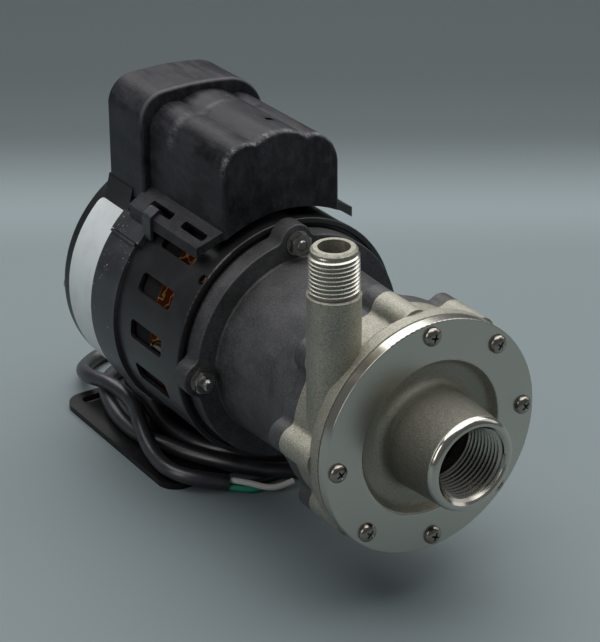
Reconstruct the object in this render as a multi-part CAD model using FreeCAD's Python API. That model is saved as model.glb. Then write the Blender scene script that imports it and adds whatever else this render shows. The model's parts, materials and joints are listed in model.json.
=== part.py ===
import FreeCAD, Part
import math
import os

# Magnetic drive pump: a stainless wet end on a black moulded bracket, driven by a small ventilated motor.
# The row frame has +Z up and the inlet facing -Y. Its origin lies on the floor, at the middle of the foot's four slots.
# Lengths are in millimetres. A station is a distance behind the front face of the front cover, towards the motor.
# Angles are in degrees round the pump axis, from +X towards +Z, as seen from the inlet.

V = FreeCAD.Vector

# Fits and gaps
SEAT = 0.05
RUN = 0.05
CLEAR = 0.4
SOFT = 0.3

# Where the turned pieces' lengthwise line lies, clear of the holes round them
SEAM_ANGLE = 26.0

# Foot
FOOT_WIDTH = 104.0
FOOT_LENGTH = 105.0
FOOT_THICK = 3.0
FOOT_CORNER = 10.0
SLOT_LENGTH = 14.0
SLOT_WIDTH = 6.0
SLOT_SPACING_X = 75.0
SLOT_SPACING_Y = 89.0
PEDESTAL_WIDTH = 25.0
PEDESTAL_LENGTH = 82.0
PEDESTAL_CORNER = 5.0

# Main heights and places
AXIS_HEIGHT = 75.0
FOOT_STATION = 183.5

# Front cover and inlet
FLANGE_DIA = 106.2
COVER_THICK = 6.0
RECESS_DIA = 69.7
DISH_DEPTH = 5.5
DISH_WALL = 4.0
DISH_FLOOR_DIA = 60.0
BOSS_LENGTH = 28.2
BOSS_MOUTH_DIA = 41.3
BOSS_FOOT_DIA = 46.4
BOSS_ROUND = 2.8
INLET_BORE_DIA = 33.0
INLET_CHAMFER = 1.1
INLET_THREAD_DEPTH = 27.4
EYE_DIA = 25.0

# Cover screws, eight places with the one beside the outlet left empty
SCREW_CIRCLE_DIA = 94.6
SCREW_START = 1.7
SCREW_PLACES = 8
SCREW_EMPTY_PLACE = 3
SCREW_DIA = 4.2
SCREW_HOLE_DIA = 5.0
SCREW_HEAD_DIA = 8.2
SCREW_HEAD_HEIGHT = 2.6
SCREW_INSERT_DIA = 6.4
SCREW_INSERT_LENGTH = 7.0

# Volute housing and outlet
RIM_DEPTH = 6.5
JOINT_GROOVE_WIDTH = 0.6
JOINT_GROOVE_DEPTH = 1.2
VOLUTE_BODY_DIA = 95.2
VOLUTE_BODY_DEPTH = 20.0
LOBE_DIA = 14.2
LOBE_BLEND = 3.0
CAN_SHOULDER_DEPTH = 4.0
CAN_SHOULDER_WIDTH = 4.2
OUTLET_X = -35.7
OUTLET_STATION = 20.0
OUTLET_PIPE_DIA = 22.4
OUTLET_TOP = 88.4
OUTLET_THREAD_LENGTH = 20.0
OUTLET_CORE_DIA = 19.2
OUTLET_BORE_DIA = 13.4
OUTLET_CHAMFER = 1.0

# Cover and can seals
COVER_SEAL_INSET = 2.5
COVER_SEAL_WIDTH = 2.6
COVER_SEAL_DEPTH = 1.6
CAN_SEAL_INSET = 2.2
CAN_SEAL_WIDTH = 2.0
CAN_SEAL_DEPTH = 1.4

# Containment can
CAN_FLANGE_INSET = 4.1
CAN_DIA = 53.0
CAN_WALL = 2.0
CAN_LENGTH = 42.0
CAN_BOSS_DIA = 14.0
CAN_BOSS_LENGTH = 6.0

# Impeller group
IMPELLER_DIA = 67.0
IMPELLER_GAP = 1.2
SHROUD_THICK = 1.6
VANE_DEPTH = 7.0
BACK_PLATE_THICK = 2.4
VANE_COUNT = 6
VANE_THICK = 2.2
VANE_SWEEP = 62.0
HUB_DIA = 20.0
BUSHING_DIA = 12.6
SPINDLE_DIA = 8.0
NOSE_DIA = 14.0
NOSE_LENGTH = 6.0
WASHER_DIA = 15.0
WASHER_THICK = 1.5
DRIVEN_MAGNET_DIA = 45.0
DRIVEN_MAGNET_LENGTH = 28.0

# Drive magnet
DRIVE_GAP = 1.8
DRIVE_MAGNET_WALL = 5.0
DRIVE_MAGNET_LENGTH = 26.0
CUP_WALL = 2.4
CUP_END_WALL = 3.6
CUP_END_GAP = 2.0
CUP_HUB_DIA = 20.0
CUP_HUB_LENGTH = 16.0
SET_SCREW_DIA = 4.0

# Motor bracket
BRACKET_OPENING_DIA = 66.0
BRACKET_LOBE_DEPTH = 8.0
BRACKET_FRONT_DIA = 92.2
BRACKET_WAIST_DIA = 84.8
BRACKET_REAR_DIA = 87.8
BRACKET_WAIST_STATION = 62.0
BRACKET_WALL = 3.6
MOTOR_FLANGE_STATION = 99.7
MOTOR_FLANGE_DIA = 107.0
LUG_CIRCLE_DIA = 103.4
LUG_DIA = 16.4
LUG_RAISE = 0.3
LUG_BLEND = 4.0
LUG_START = 1.5
LUG_COUNT = 4

# Through bolts, nuts and washers
BOLT_DIA = 5.0
BOLT_PROUD = (3.2, 0.4, 3.2, 3.2)
BOLT_HEAD_DIA = 8.4
BOLT_HEAD_HEIGHT = 3.0
NUT_FLATS = 9.5
NUT_HEIGHT = 3.6
NUT_WASHER_DIA = 11.4
NUT_WASHER_THICK = 0.9

# Motor shells
SHELL_DIA = 115.0
SHELL_WALL = 2.0
LIP_DIA = 115.8
LIP_WIDTH = 3.0
LIP_STATION = 108.9
END_WALL_INSET = 1.8
END_WALL_THICK = 2.5
SHELL_SPLIT_STATION = 163.0
REAR_EDGE_STATION = 216.0
REAR_DOME_DIA = 93.0
REAR_DOME_LENGTH = 9.0
REAR_DOME_ROUND = 4.0
WINDOW_STATION = 137.5
WINDOW_LENGTH = 27.0
WINDOW_HEIGHT = 9.2
WINDOW_CORNER = 2.2
WINDOW_PITCH = 22.5
WINDOW_FIRST = 130.5
WINDOW_COUNT = 13
REAR_VENT_COUNT = 12
REAR_VENT_WIDTH = 5.0
REAR_VENT_INNER = 26.0
REAR_VENT_OUTER = 41.0
LIP_HOLE_ANGLE = 137.0
LIP_HOLE_STATION = 112.0
LIP_HOLE_DIA = 5.0
LIP_HOLE_DEPTH = 3.0
SEAT_BLOCK_TOP = 55.0
SEAT_BLOCK_START = 186.0
SEAT_BLOCK_FOOT_ANGLES = (131.0, 53.0)

# Motor inner parts
CORE_STATION = 138.0
CORE_LENGTH = 46.0
STATOR_DIA = 109.0
STATOR_BORE_DIA = 56.6
STATOR_SLOTS = 24
STATOR_SLOT_DEPTH = 13.0
STATOR_SLOT_WIDTH = 3.4
ROTOR_DIA = 56.0
ROTOR_RING_LENGTH = 4.0
ROTOR_RING_DIA = 52.0
WINDING_INNER_DIA = 62.0
WINDING_LENGTH = 18.0
WINDING_ROUND = 6.0
SHAFT_DIA = 8.0
SHAFT_JOURNAL_DIA = 10.0
SHAFT_CORE_DIA = 14.0
SHAFT_TIP_INSET = 2.0
BEARING_DIA = 20.0
BEARING_LENGTH = 11.0
BEARING_BOSS_WALL = 3.0
FAN_DIA = 88.0
FAN_HUB_DIA = 22.0
FAN_LENGTH = 7.0
FAN_BLADES = 9
FAN_BLADE_THICK = 1.4
FAN_PITCH = 35.0

# Strap round the motor and its two clips
BAND_WIDTH = 21.4
BAND_THICK = 1.9
BAND_SEAM_ANGLE = 140.5
CLIP_THICK = 3.0
CLIP_LEAD = 2.6
CLIP_ANGLE = 130.6
CLIP_TONGUE_WIDTH = 7.2
CLIP_TONGUE_STATION = 159.8
CLIP_TONGUE_THICK = 1.5
CLIP_TONGUE_DEPTH = 2.0

# Top cover: outlines are given as points right of the axis and above it
COVER_FRONT_STATION = 112.5
COVER_STEP_STATION = 176.0
COVER_REAR_STATION = 208.0
COVER_WALL = 2.4
COVER_EDGE_ROUND = 2.0
COVER_FOOT = 20.0
FRONT_HALF_WIDTH = 30.5
FRONT_SHOULDER_LEFT = 96.5
FRONT_SHOULDER_RIGHT = 93.7
FRONT_CROWN = 98.9
FRONT_VALLEY = 13.2
REAR_LEFT_WIDTH = 34.4
REAR_RIGHT_WIDTH = 31.4
REAR_CROWN = 102.8
COVER_LIFT_FRONT = 4.6
COVER_LIFT_REAR = 3.4
EAR_SIDE = 41.0
EAR_EDGE_RISE = 51.4
EAR_SLOPE = 32.2
EAR_START = 118.3
EAR_SKEW = 4.1
EAR_END = 177.7
EAR_SLOT_LENGTH = 19.2
EAR_SLOT_WIDTH = 4.0
EAR_SLOT_OFFSET = 6.0
EAR_SLOT_DEPTH = 6.0
EAR_SLOT_STATIONS = (128.8, 156.8)
CAPACITOR_DIA = 34.0
CAPACITOR_LENGTH = 52.0
CAPACITOR_GAP = 6.0

# Supply cord
CORD_DIA = 7.5
GLAND_ANGLE = -42.0
GLAND_STATION = 203.0
GLAND_LENGTH = 22.0
GLAND_FOOT_DIA = 13.0
GLAND_TIP_DIA = 9.6
LEAD_STRAIGHT = 8.0
LOOPS_HEIGHT = 11.0
CORE_WIRE_DIA = 2.9

# Sizes that follow from the ones above
FACE_Y = -FOOT_STATION
SCREW_R = SCREW_CIRCLE_DIA / 2
CAN_FLANGE_DIA = SCREW_CIRCLE_DIA - 2 * CAN_FLANGE_INSET
CAN_SEAL_DIA = CAN_FLANGE_DIA - 2 * CAN_SEAL_INSET
CHAMBER_DIA = CAN_FLANGE_DIA - 2 * CAN_SHOULDER_WIDTH
COVER_SEAL_DIA = CHAMBER_DIA + 2 * COVER_SEAL_INSET
RIM_STATION = COVER_THICK
BODY_STATION = RIM_STATION + RIM_DEPTH
VOLUTE_REAR = BODY_STATION + VOLUTE_BODY_DEPTH
CAN_FRONT = VOLUTE_REAR - CAN_SHOULDER_DEPTH
CAN_END = CAN_FRONT + CAN_LENGTH
DISH_BACK = DISH_DEPTH + DISH_WALL
IMPELLER_FRONT = DISH_BACK + IMPELLER_GAP
VANE_FRONT = IMPELLER_FRONT + SHROUD_THICK
BACK_PLATE = VANE_FRONT + VANE_DEPTH
BACK_PLATE_END = BACK_PLATE + BACK_PLATE_THICK
CAN_BOSS_FRONT = CAN_END - CAN_WALL - CAN_BOSS_LENGTH
REAR_WASHER = CAN_BOSS_FRONT - WASHER_THICK
HUB_END = REAR_WASHER - CLEAR
DRIVEN_MAGNET_END = HUB_END - 1.0
DRIVEN_MAGNET_START = DRIVEN_MAGNET_END - DRIVEN_MAGNET_LENGTH
FRONT_WASHER_END = IMPELLER_FRONT + SHROUD_THICK
FRONT_WASHER = FRONT_WASHER_END - WASHER_THICK
HUB_START = FRONT_WASHER_END + CLEAR
MAGNET_BORE_R = CAN_DIA / 2 + DRIVE_GAP
MAGNET_R = MAGNET_BORE_R + DRIVE_MAGNET_WALL
CUP_R = MAGNET_R + SEAT + CUP_WALL
CUP_END_INNER = CAN_END + CUP_END_GAP
CUP_END_OUTER = CUP_END_INNER + CUP_END_WALL
CUP_HUB_END = CUP_END_OUTER + CUP_HUB_LENGTH
MAGNET_END = CUP_END_INNER - 4.0
MAGNET_START = MAGNET_END - DRIVE_MAGNET_LENGTH
BRACKET_LOBE_END = VOLUTE_REAR + BRACKET_LOBE_DEPTH
BRACKET_OPENING_END = MAGNET_START - 1.5
END_WALL = LIP_STATION + END_WALL_INSET
LUG_R = LUG_CIRCLE_DIA / 2
WINDING_R = LUG_R - BOLT_DIA / 2 - CLEAR
LUG_FACE = MOTOR_FLANGE_STATION - LUG_RAISE
NUT_FACE = LUG_FACE - NUT_WASHER_THICK
SHELL_R = SHELL_DIA / 2
SHELL_INNER_R = SHELL_R - SHELL_WALL
MOTOR_REAR = REAR_EDGE_STATION + REAR_DOME_LENGTH
CORE_END = CORE_STATION + CORE_LENGTH
BAND_START = SHELL_SPLIT_STATION + 0.6
BAND_END = BAND_START + BAND_WIDTH
BAND_R = SHELL_R + SEAT + BAND_THICK
FRONT_BEARING_START = END_WALL + END_WALL_THICK + 1.0
FRONT_BEARING_END = FRONT_BEARING_START + BEARING_LENGTH
REAR_WALL = MOTOR_REAR - SHELL_WALL
REAR_BEARING_START = REAR_WALL - BEARING_LENGTH
FAN_END = REAR_BEARING_START - 1.0
FAN_START = FAN_END - FAN_LENGTH
PEDESTAL_START = FOOT_STATION - PEDESTAL_LENGTH / 2
PEDESTAL_END = FOOT_STATION + PEDESTAL_LENGTH / 2
SHAFT_TIP = CUP_END_INNER + SHAFT_TIP_INSET
CORD_ON_FOOT = FOOT_THICK + CORD_DIA / 2
CORD_ON_FLOOR = CORD_DIA / 2

# The coil of loose loops round the pedestal, seen from above: x, station and corner radius
LOOPS_OUTLINE = [
    (-51, 148, 5), (-33, 139, 10), (-13, 112, 14), (0, 106.5, 18), (30, 107, 26), (51, 130, 26),
    (51, 226, 30), (36, 264, 20), (-16, 269, 14), (-41, 244, 12), (-51, 206, 20),
]
LOOPS_WELL = [(-14, 138, 11), (14, 138, 11), (14, 228, 11), (-14, 228, 11)]

# Routes of the cord: x, station and height above the floor
LEAD_ROUTE = [
    (72.0, 209.0, 9.8), (79.5, 221.0, 6.0), (80.0, 238.0, 4.2), (67.0, 251.0, 4.1), (47.0, 256.0, 4.3),
    (26.0, 254.5, 4.1),
]
TAIL_ROUTE = [(-46.6, 156.0, 7.5), (-47.5, 138.0, 7.5), (-40.0, 125.6, 6.6), (-27.0, 118.6, 4.05)]
CORE_WIRE_ROUTES = [
    [(0.0, 1.5), (-18.9, 111.9, 5.4), (-11.8, 105.8, 4.6), (0.0, 103.0, 6.6)],
    [(-1.5, -1.3), (-20.4, 109.9, 2.5), (-14.0, 103.9, 2.2), (-3.0, 100.5, 2.0)],
    [(1.7, -1.3), (-17.6, 113.4, 2.4), (-10.6, 107.4, 2.0), (0.4, 105.0, 1.9)],
]


def at(station):
    return station + FACE_Y


def polar(radius, angle):
    """x and height above the axis of a point at an angle round the pump axis."""
    return radius * math.cos(math.radians(angle)), radius * math.sin(math.radians(angle))


def place(x, station, rise):
    """A point from x, station and height above the pump axis."""
    return V(x, at(station), AXIS_HEIGHT + rise)


def floor_point(x, station, height):
    """A point from x, station and height above the floor."""
    return V(x, at(station), height)


def rod(radius, start, end, x=0.0, rise=0.0):
    """A round bar along the pump's direction."""
    return Part.makeCylinder(radius, end - start, place(x, start, rise), V(0, 1, 0))


def tube(outer, inner, start, end, x=0.0, rise=0.0):
    return rod(outer, start, end, x, rise).cut(rod(inner, start - 1, end + 1, x, rise))


def joined(shapes):
    """One solid from pieces that overlap."""
    first = shapes[0]
    return first.fuse(shapes[1:]).removeSplitter() if len(shapes) > 1 else first


def group(shapes):
    """Separate solids kept together in one node."""
    return Part.makeCompound(shapes)


def rounded_edges(points, closed):
    """Straight edges through the points, with an arc of the given radius at each corner: points are (vector, radius)."""
    count = len(points)
    starts, ends, edges = {}, {}, []
    for i, (corner, radius) in enumerate(points):
        if not closed and i in (0, count - 1):
            starts[i] = ends[i] = corner
            continue
        back = (points[i - 1][0] - corner).normalize()
        ahead = (points[(i + 1) % count][0] - corner).normalize()
        half = back.getAngle(ahead) / 2
        if radius <= 0 or half > math.pi / 2 - 1e-4:
            starts[i] = ends[i] = corner
            continue
        reach = radius / math.tan(half)
        starts[i] = corner + back * reach
        ends[i] = corner + ahead * reach
        centre = corner + (back + ahead).normalize() * (radius / math.sin(half))
        middle = centre + (corner - centre).normalize() * radius
        edges.append((i, Part.Arc(starts[i], middle, ends[i]).toShape()))
    arcs = dict(edges)
    ordered = []
    for i in range(count):
        if i in arcs:
            ordered.append(arcs[i])
        following = (i + 1) % count
        if following == 0 and not closed:
            break
        if ends[i].distanceToPoint(starts[following]) > 1e-4:
            ordered.append(Part.LineSegment(ends[i], starts[following]).toShape())
    return ordered


def rounded_face(points):
    return Part.Face(Part.Wire(rounded_edges(points, True)))


def turned(profile):
    """A solid of revolution round the pump axis from (radius, station, corner radius)."""
    points = [(place(r, s, 0.0), corner) for r, s, corner in profile]
    return spun(rounded_face(points).revolve(place(0, 0, 0), V(0, 1, 0), 360), SEAM_ANGLE)


def curved_bar(outer, inner, start, end, angle_from, angle_to):
    """Part of a ring round the pump axis, between two angles."""
    corners = [(inner, start), (outer, start), (outer, end), (inner, end)]
    points = [place(polar(r, angle_from)[0], s, polar(r, angle_from)[1]) for r, s in corners]
    face = Part.Face(Part.makePolygon(points + points[:1]))
    return face.revolve(place(0, 0, 0), V(0, -1, 0), angle_to - angle_from)


def spun(shape, angle):
    """The shape turned round the pump axis, towards larger angles."""
    turned_shape = shape.copy()
    turned_shape.rotate(place(0, 0, 0), V(0, -1, 0), angle)
    return turned_shape


def mirrored(shape):
    """The shape on the other side of the middle plane."""
    return shape.mirror(V(0, 0, 0), V(1, 0, 0))


def upright_slab(width, depth, height, corner, z0, y_mid=0.0):
    """A block with rounded corners seen from above, standing on z0, with its middle at x 0."""
    a, b = width / 2, depth / 2
    corners = [(-a, -b), (a, -b), (a, b), (-a, b)]
    points = [(V(x, y + y_mid, z0), corner) for x, y in corners]
    return rounded_face(points).extrude(V(0, 0, height))


def screw_angles(used_only=True):
    """Angles of the places round the cover's screw circle."""
    pitch = 360.0 / SCREW_PLACES
    places = [i for i in range(SCREW_PLACES) if not (used_only and i == SCREW_EMPTY_PLACE)]
    return [SCREW_START + pitch * i for i in places]


def lug_angles():
    return [LUG_START + 360.0 / LUG_COUNT * i for i in range(LUG_COUNT)]


def rods_round(circle_r, angles, radius, start, end):
    """The same bar at several angles round the axis."""
    return [rod(radius, start, end, *polar(circle_r, a)) for a in angles]


def along_y(edge):
    """True for a straight edge that runs in the pump's direction."""
    if not isinstance(edge.Curve, Part.Line):
        return False
    return abs(edge.tangentAt(edge.FirstParameter).y) > 0.999


def lobed(body_r, start, end):
    """The round body with a screw lobe at each place and soft valleys beside them."""
    shape = joined([rod(body_r, start, end)] + rods_round(SCREW_R, screw_angles(False), LOBE_DIA / 2, start, end))
    valleys = [e for e in shape.Edges if along_y(e)]
    return shape.makeFillet(LOBE_BLEND, valleys)


# Front cover and inlet

def front_cover():
    bore = INLET_BORE_DIA / 2
    mouth = BOSS_MOUTH_DIA / 2
    profile = [
        (bore + INLET_CHAMFER, -BOSS_LENGTH, 0), (mouth, -BOSS_LENGTH, BOSS_ROUND),
        (BOSS_FOOT_DIA / 2, DISH_DEPTH, 4.0), (RECESS_DIA / 2 - 2.6, DISH_DEPTH, 3.4), (RECESS_DIA / 2, 0, 1.0),
        (FLANGE_DIA / 2, 0, 0.5), (FLANGE_DIA / 2, COVER_THICK - JOINT_GROOVE_WIDTH, 0.3),
        (FLANGE_DIA / 2 - JOINT_GROOVE_DEPTH, COVER_THICK - JOINT_GROOVE_WIDTH, 0),
        (FLANGE_DIA / 2 - JOINT_GROOVE_DEPTH, COVER_THICK, 0), (CHAMBER_DIA / 2 - CLEAR, COVER_THICK, 0),
        (DISH_FLOOR_DIA / 2 + DISH_WALL, DISH_BACK, 2.0), (EYE_DIA / 2, DISH_BACK, 0),
        (EYE_DIA / 2, INLET_THREAD_DEPTH - BOSS_LENGTH, 0), (bore, INLET_THREAD_DEPTH - BOSS_LENGTH, 0),
        (bore, INLET_CHAMFER - BOSS_LENGTH, 0),
    ]
    cover = turned(profile)
    return cover.cut(group(rods_round(SCREW_R, screw_angles(), SCREW_HOLE_DIA / 2, -1, COVER_THICK + 1)))


def cover_screws():
    """Long screws that clamp the cover and the volute to the bracket's inserts."""
    made = []
    end = VOLUTE_REAR + SCREW_INSERT_LENGTH
    for angle in screw_angles():
        x, rise = polar(SCREW_R, angle)
        head = rod(SCREW_HEAD_DIA / 2, -SCREW_HEAD_HEIGHT, 0, x, rise)
        rim = [e for e in head.Edges if e.BoundBox.YMax < at(-SCREW_HEAD_HEIGHT) + 0.01]
        head = head.makeFillet(SCREW_HEAD_HEIGHT * 0.55, rim)
        made.append(joined([head, rod(SCREW_DIA / 2, -SCREW_HEAD_HEIGHT / 2, end, x, rise)]))
    return group(made)


def seal_ring(diameter, width, depth, start):
    mid = diameter / 2
    return tube(mid + width / 2, mid - width / 2, start, start + depth)


def cover_seal():
    return seal_ring(COVER_SEAL_DIA, COVER_SEAL_WIDTH, COVER_SEAL_DEPTH, RIM_STATION)


# Volute housing with its outlet pipe

def outlet_pipe():
    """The upright cast pipe, with the plain core that its pipe thread stands on."""
    pipe_r = OUTLET_PIPE_DIA / 2
    core_r = OUTLET_CORE_DIA / 2
    cast_top = OUTLET_TOP - OUTLET_THREAD_LENGTH
    profile = [(0, 0), (pipe_r, 0), (pipe_r, cast_top - 0.6), (pipe_r - 0.6, cast_top), (core_r, cast_top),
               (core_r, OUTLET_TOP - OUTLET_CHAMFER), (core_r - OUTLET_CHAMFER, OUTLET_TOP), (0, OUTLET_TOP)]
    points = [place(OUTLET_X + r, OUTLET_STATION, rise) for r, rise in profile]
    face = Part.Face(Part.makePolygon(points + points[:1]))
    return face.revolve(place(OUTLET_X, OUTLET_STATION, 0), V(0, 0, 1), 360)


def volute_housing():
    rim_profile = [(0, RIM_STATION, 0), (FLANGE_DIA / 2, RIM_STATION, 0.4),
                   (FLANGE_DIA / 2, BODY_STATION, 2.0), (FLANGE_DIA / 2 - 8, BODY_STATION + 3.0, 0),
                   (0, BODY_STATION + 3.0, 0)]
    body = lobed(VOLUTE_BODY_DIA / 2, BODY_STATION - 1.0, VOLUTE_REAR)
    shape = joined([turned(rim_profile), body, outlet_pipe()])
    chamber = rod(CHAMBER_DIA / 2, RIM_STATION - 1, CAN_FRONT + 1)
    shoulder = rod(CAN_FLANGE_DIA / 2 + SEAT, CAN_FRONT, VOLUTE_REAR + 1)
    passage = Part.makeCylinder(OUTLET_BORE_DIA / 2, OUTLET_TOP + 1, place(OUTLET_X, OUTLET_STATION, 0), V(0, 0, 1))
    groove = tube((COVER_SEAL_DIA + COVER_SEAL_WIDTH) / 2, (COVER_SEAL_DIA - COVER_SEAL_WIDTH) / 2,
                  RIM_STATION - 1, RIM_STATION + COVER_SEAL_DEPTH)
    holes = rods_round(SCREW_R, screw_angles(), SCREW_HOLE_DIA / 2, RIM_STATION - 1, VOLUTE_REAR + 1)
    return shape.cut([chamber, shoulder, passage, groove] + holes)


# Containment can

def containment_can():
    """The closed cup that keeps the liquid in and stands between the two magnets."""
    outer = CAN_DIA / 2
    inner = outer - CAN_WALL
    profile = [
        (inner, CAN_FRONT, 0.8), (CAN_FLANGE_DIA / 2, CAN_FRONT, 0), (CAN_FLANGE_DIA / 2, VOLUTE_REAR, 0),
        (outer, VOLUTE_REAR, 1.0), (outer, CAN_END, 3.0), (0, CAN_END, 0), (0, CAN_BOSS_FRONT, 0),
        (CAN_BOSS_DIA / 2, CAN_BOSS_FRONT, 0), (CAN_BOSS_DIA / 2, CAN_END - CAN_WALL, 0),
        (inner, CAN_END - CAN_WALL, 2.0),
    ]
    can = turned(profile)
    socket = rod(SPINDLE_DIA / 2 + SEAT, CAN_BOSS_FRONT - 1, CAN_END - CAN_WALL)
    groove = tube((CAN_SEAL_DIA + CAN_SEAL_WIDTH) / 2, (CAN_SEAL_DIA - CAN_SEAL_WIDTH) / 2,
                  CAN_FRONT - 1, CAN_FRONT + CAN_SEAL_DEPTH)
    return can.cut([socket, groove])


def can_seal():
    return seal_ring(CAN_SEAL_DIA, CAN_SEAL_WIDTH, CAN_SEAL_DEPTH, CAN_FRONT)


# Impeller, its bushing and magnet, and the fixed spindle that they turn on

def vane():
    """One swept-back vane: two arcs from the eye to the rim, closed at both ends."""
    inner_r = EYE_DIA / 2
    outer_r = IMPELLER_DIA / 2
    mid_r = (inner_r + outer_r) / 2

    def arc(shift):
        ends = [polar(inner_r, shift), polar(mid_r, shift + VANE_SWEEP * 0.36), polar(outer_r - 0.2, shift + VANE_SWEEP)]
        return [place(x, VANE_FRONT - SHROUD_THICK / 2, rise) for x, rise in ends]

    near = arc(0.0)
    far = arc(math.degrees(VANE_THICK / mid_r))
    edges = [Part.Arc(*near).toShape(), Part.LineSegment(near[2], far[2]).toShape(),
             Part.Arc(*far[::-1]).toShape(), Part.LineSegment(far[0], near[0]).toShape()]
    depth = VANE_DEPTH + SHROUD_THICK / 2 + BACK_PLATE_THICK / 2
    return Part.Face(Part.Wire(edges)).extrude(V(0, depth, 0))


def impeller():
    shroud = tube(IMPELLER_DIA / 2, EYE_DIA / 2, IMPELLER_FRONT, VANE_FRONT)
    plate = rod(IMPELLER_DIA / 2, BACK_PLATE, BACK_PLATE_END)
    hub = rod(HUB_DIA / 2, HUB_START, HUB_END)
    vanes = [spun(vane(), 360.0 / VANE_COUNT * i) for i in range(VANE_COUNT)]
    bore = rod(BUSHING_DIA / 2 + SEAT, HUB_START - 1, HUB_END + 1)
    return joined([shroud, plate, hub] + vanes).cut(bore)


def impeller_bushing():
    return tube(BUSHING_DIA / 2, SPINDLE_DIA / 2 + RUN, HUB_START, HUB_END)


def driven_magnet():
    return tube(DRIVEN_MAGNET_DIA / 2, HUB_DIA / 2 + SEAT, DRIVEN_MAGNET_START, DRIVEN_MAGNET_END)


def impeller_spindle():
    return rod(SPINDLE_DIA / 2, IMPELLER_FRONT - 1.0, CAN_END - CAN_WALL)


def spindle_nose():
    """The rounded nut that keeps the front washer on the spindle."""
    tip = FRONT_WASHER - NOSE_LENGTH
    profile = [(0, tip, 0), (NOSE_DIA / 2, tip, NOSE_DIA * 0.38), (NOSE_DIA / 2, FRONT_WASHER, 0),
               (0, FRONT_WASHER, 0)]
    return turned(profile).cut(rod(SPINDLE_DIA / 2 + SEAT, IMPELLER_FRONT - 1.0, FRONT_WASHER + 1))


def thrust_washers():
    bore = SPINDLE_DIA / 2 + RUN
    return group([tube(WASHER_DIA / 2, bore, FRONT_WASHER, FRONT_WASHER_END),
                  tube(WASHER_DIA / 2, bore, REAR_WASHER, CAN_BOSS_FRONT)])


# Drive magnet on the motor's shaft

def drive_magnet_cup():
    profile = [
        (SHAFT_DIA / 2 + SEAT, CUP_END_INNER, 0), (MAGNET_R + SEAT, CUP_END_INNER, 0),
        (MAGNET_R + SEAT, MAGNET_START, 0), (CUP_R, MAGNET_START, 0), (CUP_R, CUP_END_OUTER, 3.0),
        (CUP_HUB_DIA / 2, CUP_END_OUTER, 1.0), (CUP_HUB_DIA / 2, CUP_HUB_END, 0.6),
        (SHAFT_DIA / 2 + SEAT, CUP_HUB_END, 0),
    ]
    mid = (CUP_END_OUTER + CUP_HUB_END) / 2
    hole = Part.makeCylinder(SET_SCREW_DIA / 2 + SEAT, CUP_HUB_DIA, place(0, mid, 0), V(0, 0, 1))
    return turned(profile).cut(hole)


def drive_magnet_ring():
    return tube(MAGNET_R, MAGNET_BORE_R, MAGNET_START, MAGNET_END)


def hub_set_screw():
    mid = (CUP_END_OUTER + CUP_HUB_END) / 2
    reach = (CUP_HUB_DIA - SHAFT_DIA) / 2 - SEAT
    return Part.makeCylinder(SET_SCREW_DIA / 2, reach, place(0, mid, SHAFT_DIA / 2 + SEAT), V(0, 0, 1))


# Motor bracket

def motor_ring(flange_r):
    """The flange against the motor, with a rounded lug at each through bolt that blends into it."""
    end = LIP_STATION - CLEAR
    ring = joined([rod(flange_r, LUG_FACE, end)] + rods_round(LUG_R, lug_angles(), LUG_DIA / 2, LUG_FACE, end))
    ring = ring.makeFillet(LUG_BLEND, [e for e in ring.Edges if along_y(e) and on_rim(e, flange_r)])
    return ring.makeFillet(0.7, [e for e in ring.Edges if e.BoundBox.YMax < at(LUG_FACE) + 0.01])


def on_rim(edge, radius):
    """True for an edge whose middle lies at a radius from the pump axis."""
    middle = edge.valueAt((edge.FirstParameter + edge.LastParameter) / 2)
    return abs(math.hypot(middle.x, middle.z - AXIS_HEIGHT) - radius) < 0.01


def motor_bracket():
    """The waisted moulding between the volute and the motor, with front lobes and four rear lugs."""
    front_r = BRACKET_FRONT_DIA / 2
    waist_r = BRACKET_WAIST_DIA / 2
    rear_r = BRACKET_REAR_DIA / 2
    flange_r = MOTOR_FLANGE_DIA / 2
    outer = turned([
        (0, VOLUTE_REAR, 0), (front_r, VOLUTE_REAR, 0), (front_r, BRACKET_LOBE_END + 3.0, 6.0),
        (waist_r, BRACKET_WAIST_STATION, 30.0), (rear_r, MOTOR_FLANGE_STATION, 1.5),
        (flange_r - 1.0, MOTOR_FLANGE_STATION, 0), (flange_r - 1.0, END_WALL, 0), (0, END_WALL, 0),
    ])
    lobes = lobed(VOLUTE_BODY_DIA / 2, VOLUTE_REAR, BRACKET_LOBE_END)
    ring = motor_ring(flange_r)
    cavity = turned([
        (0, BRACKET_OPENING_END, 0), (waist_r - BRACKET_WALL, BRACKET_OPENING_END, 0),
        (rear_r - BRACKET_WALL, MOTOR_FLANGE_STATION, 0), (rear_r - BRACKET_WALL, END_WALL + 1, 0), (0, END_WALL + 1, 0),
    ])
    opening = rod(BRACKET_OPENING_DIA / 2, VOLUTE_REAR - 1, BRACKET_OPENING_END + 1)
    bolts = rods_round(LUG_R, lug_angles(), BOLT_DIA / 2 + SEAT * 4, LUG_FACE - 1, END_WALL + 1)
    inserts = rods_round(SCREW_R, screw_angles(), SCREW_INSERT_DIA / 2 + SEAT, VOLUTE_REAR - 1,
                         VOLUTE_REAR + SCREW_INSERT_LENGTH)
    return joined([outer, lobes, ring]).cut([cavity, opening] + bolts + inserts)


def bracket_inserts():
    """Brass inserts that the cover screws end in."""
    return group([tube(SCREW_INSERT_DIA / 2, SCREW_DIA / 2 + SEAT, VOLUTE_REAR, VOLUTE_REAR + SCREW_INSERT_LENGTH,
                       *polar(SCREW_R, a)) for a in screw_angles()])


def hexagon(flats, start, end, x, rise, turn=0.0):
    radius = flats / math.sqrt(3)
    corners = [polar(radius, 60 * i + turn) for i in range(6)]
    points = [place(x + dx, start, rise + dz) for dx, dz in corners]
    return Part.Face(Part.makePolygon(points + points[:1])).extrude(V(0, end - start, 0))


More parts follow.
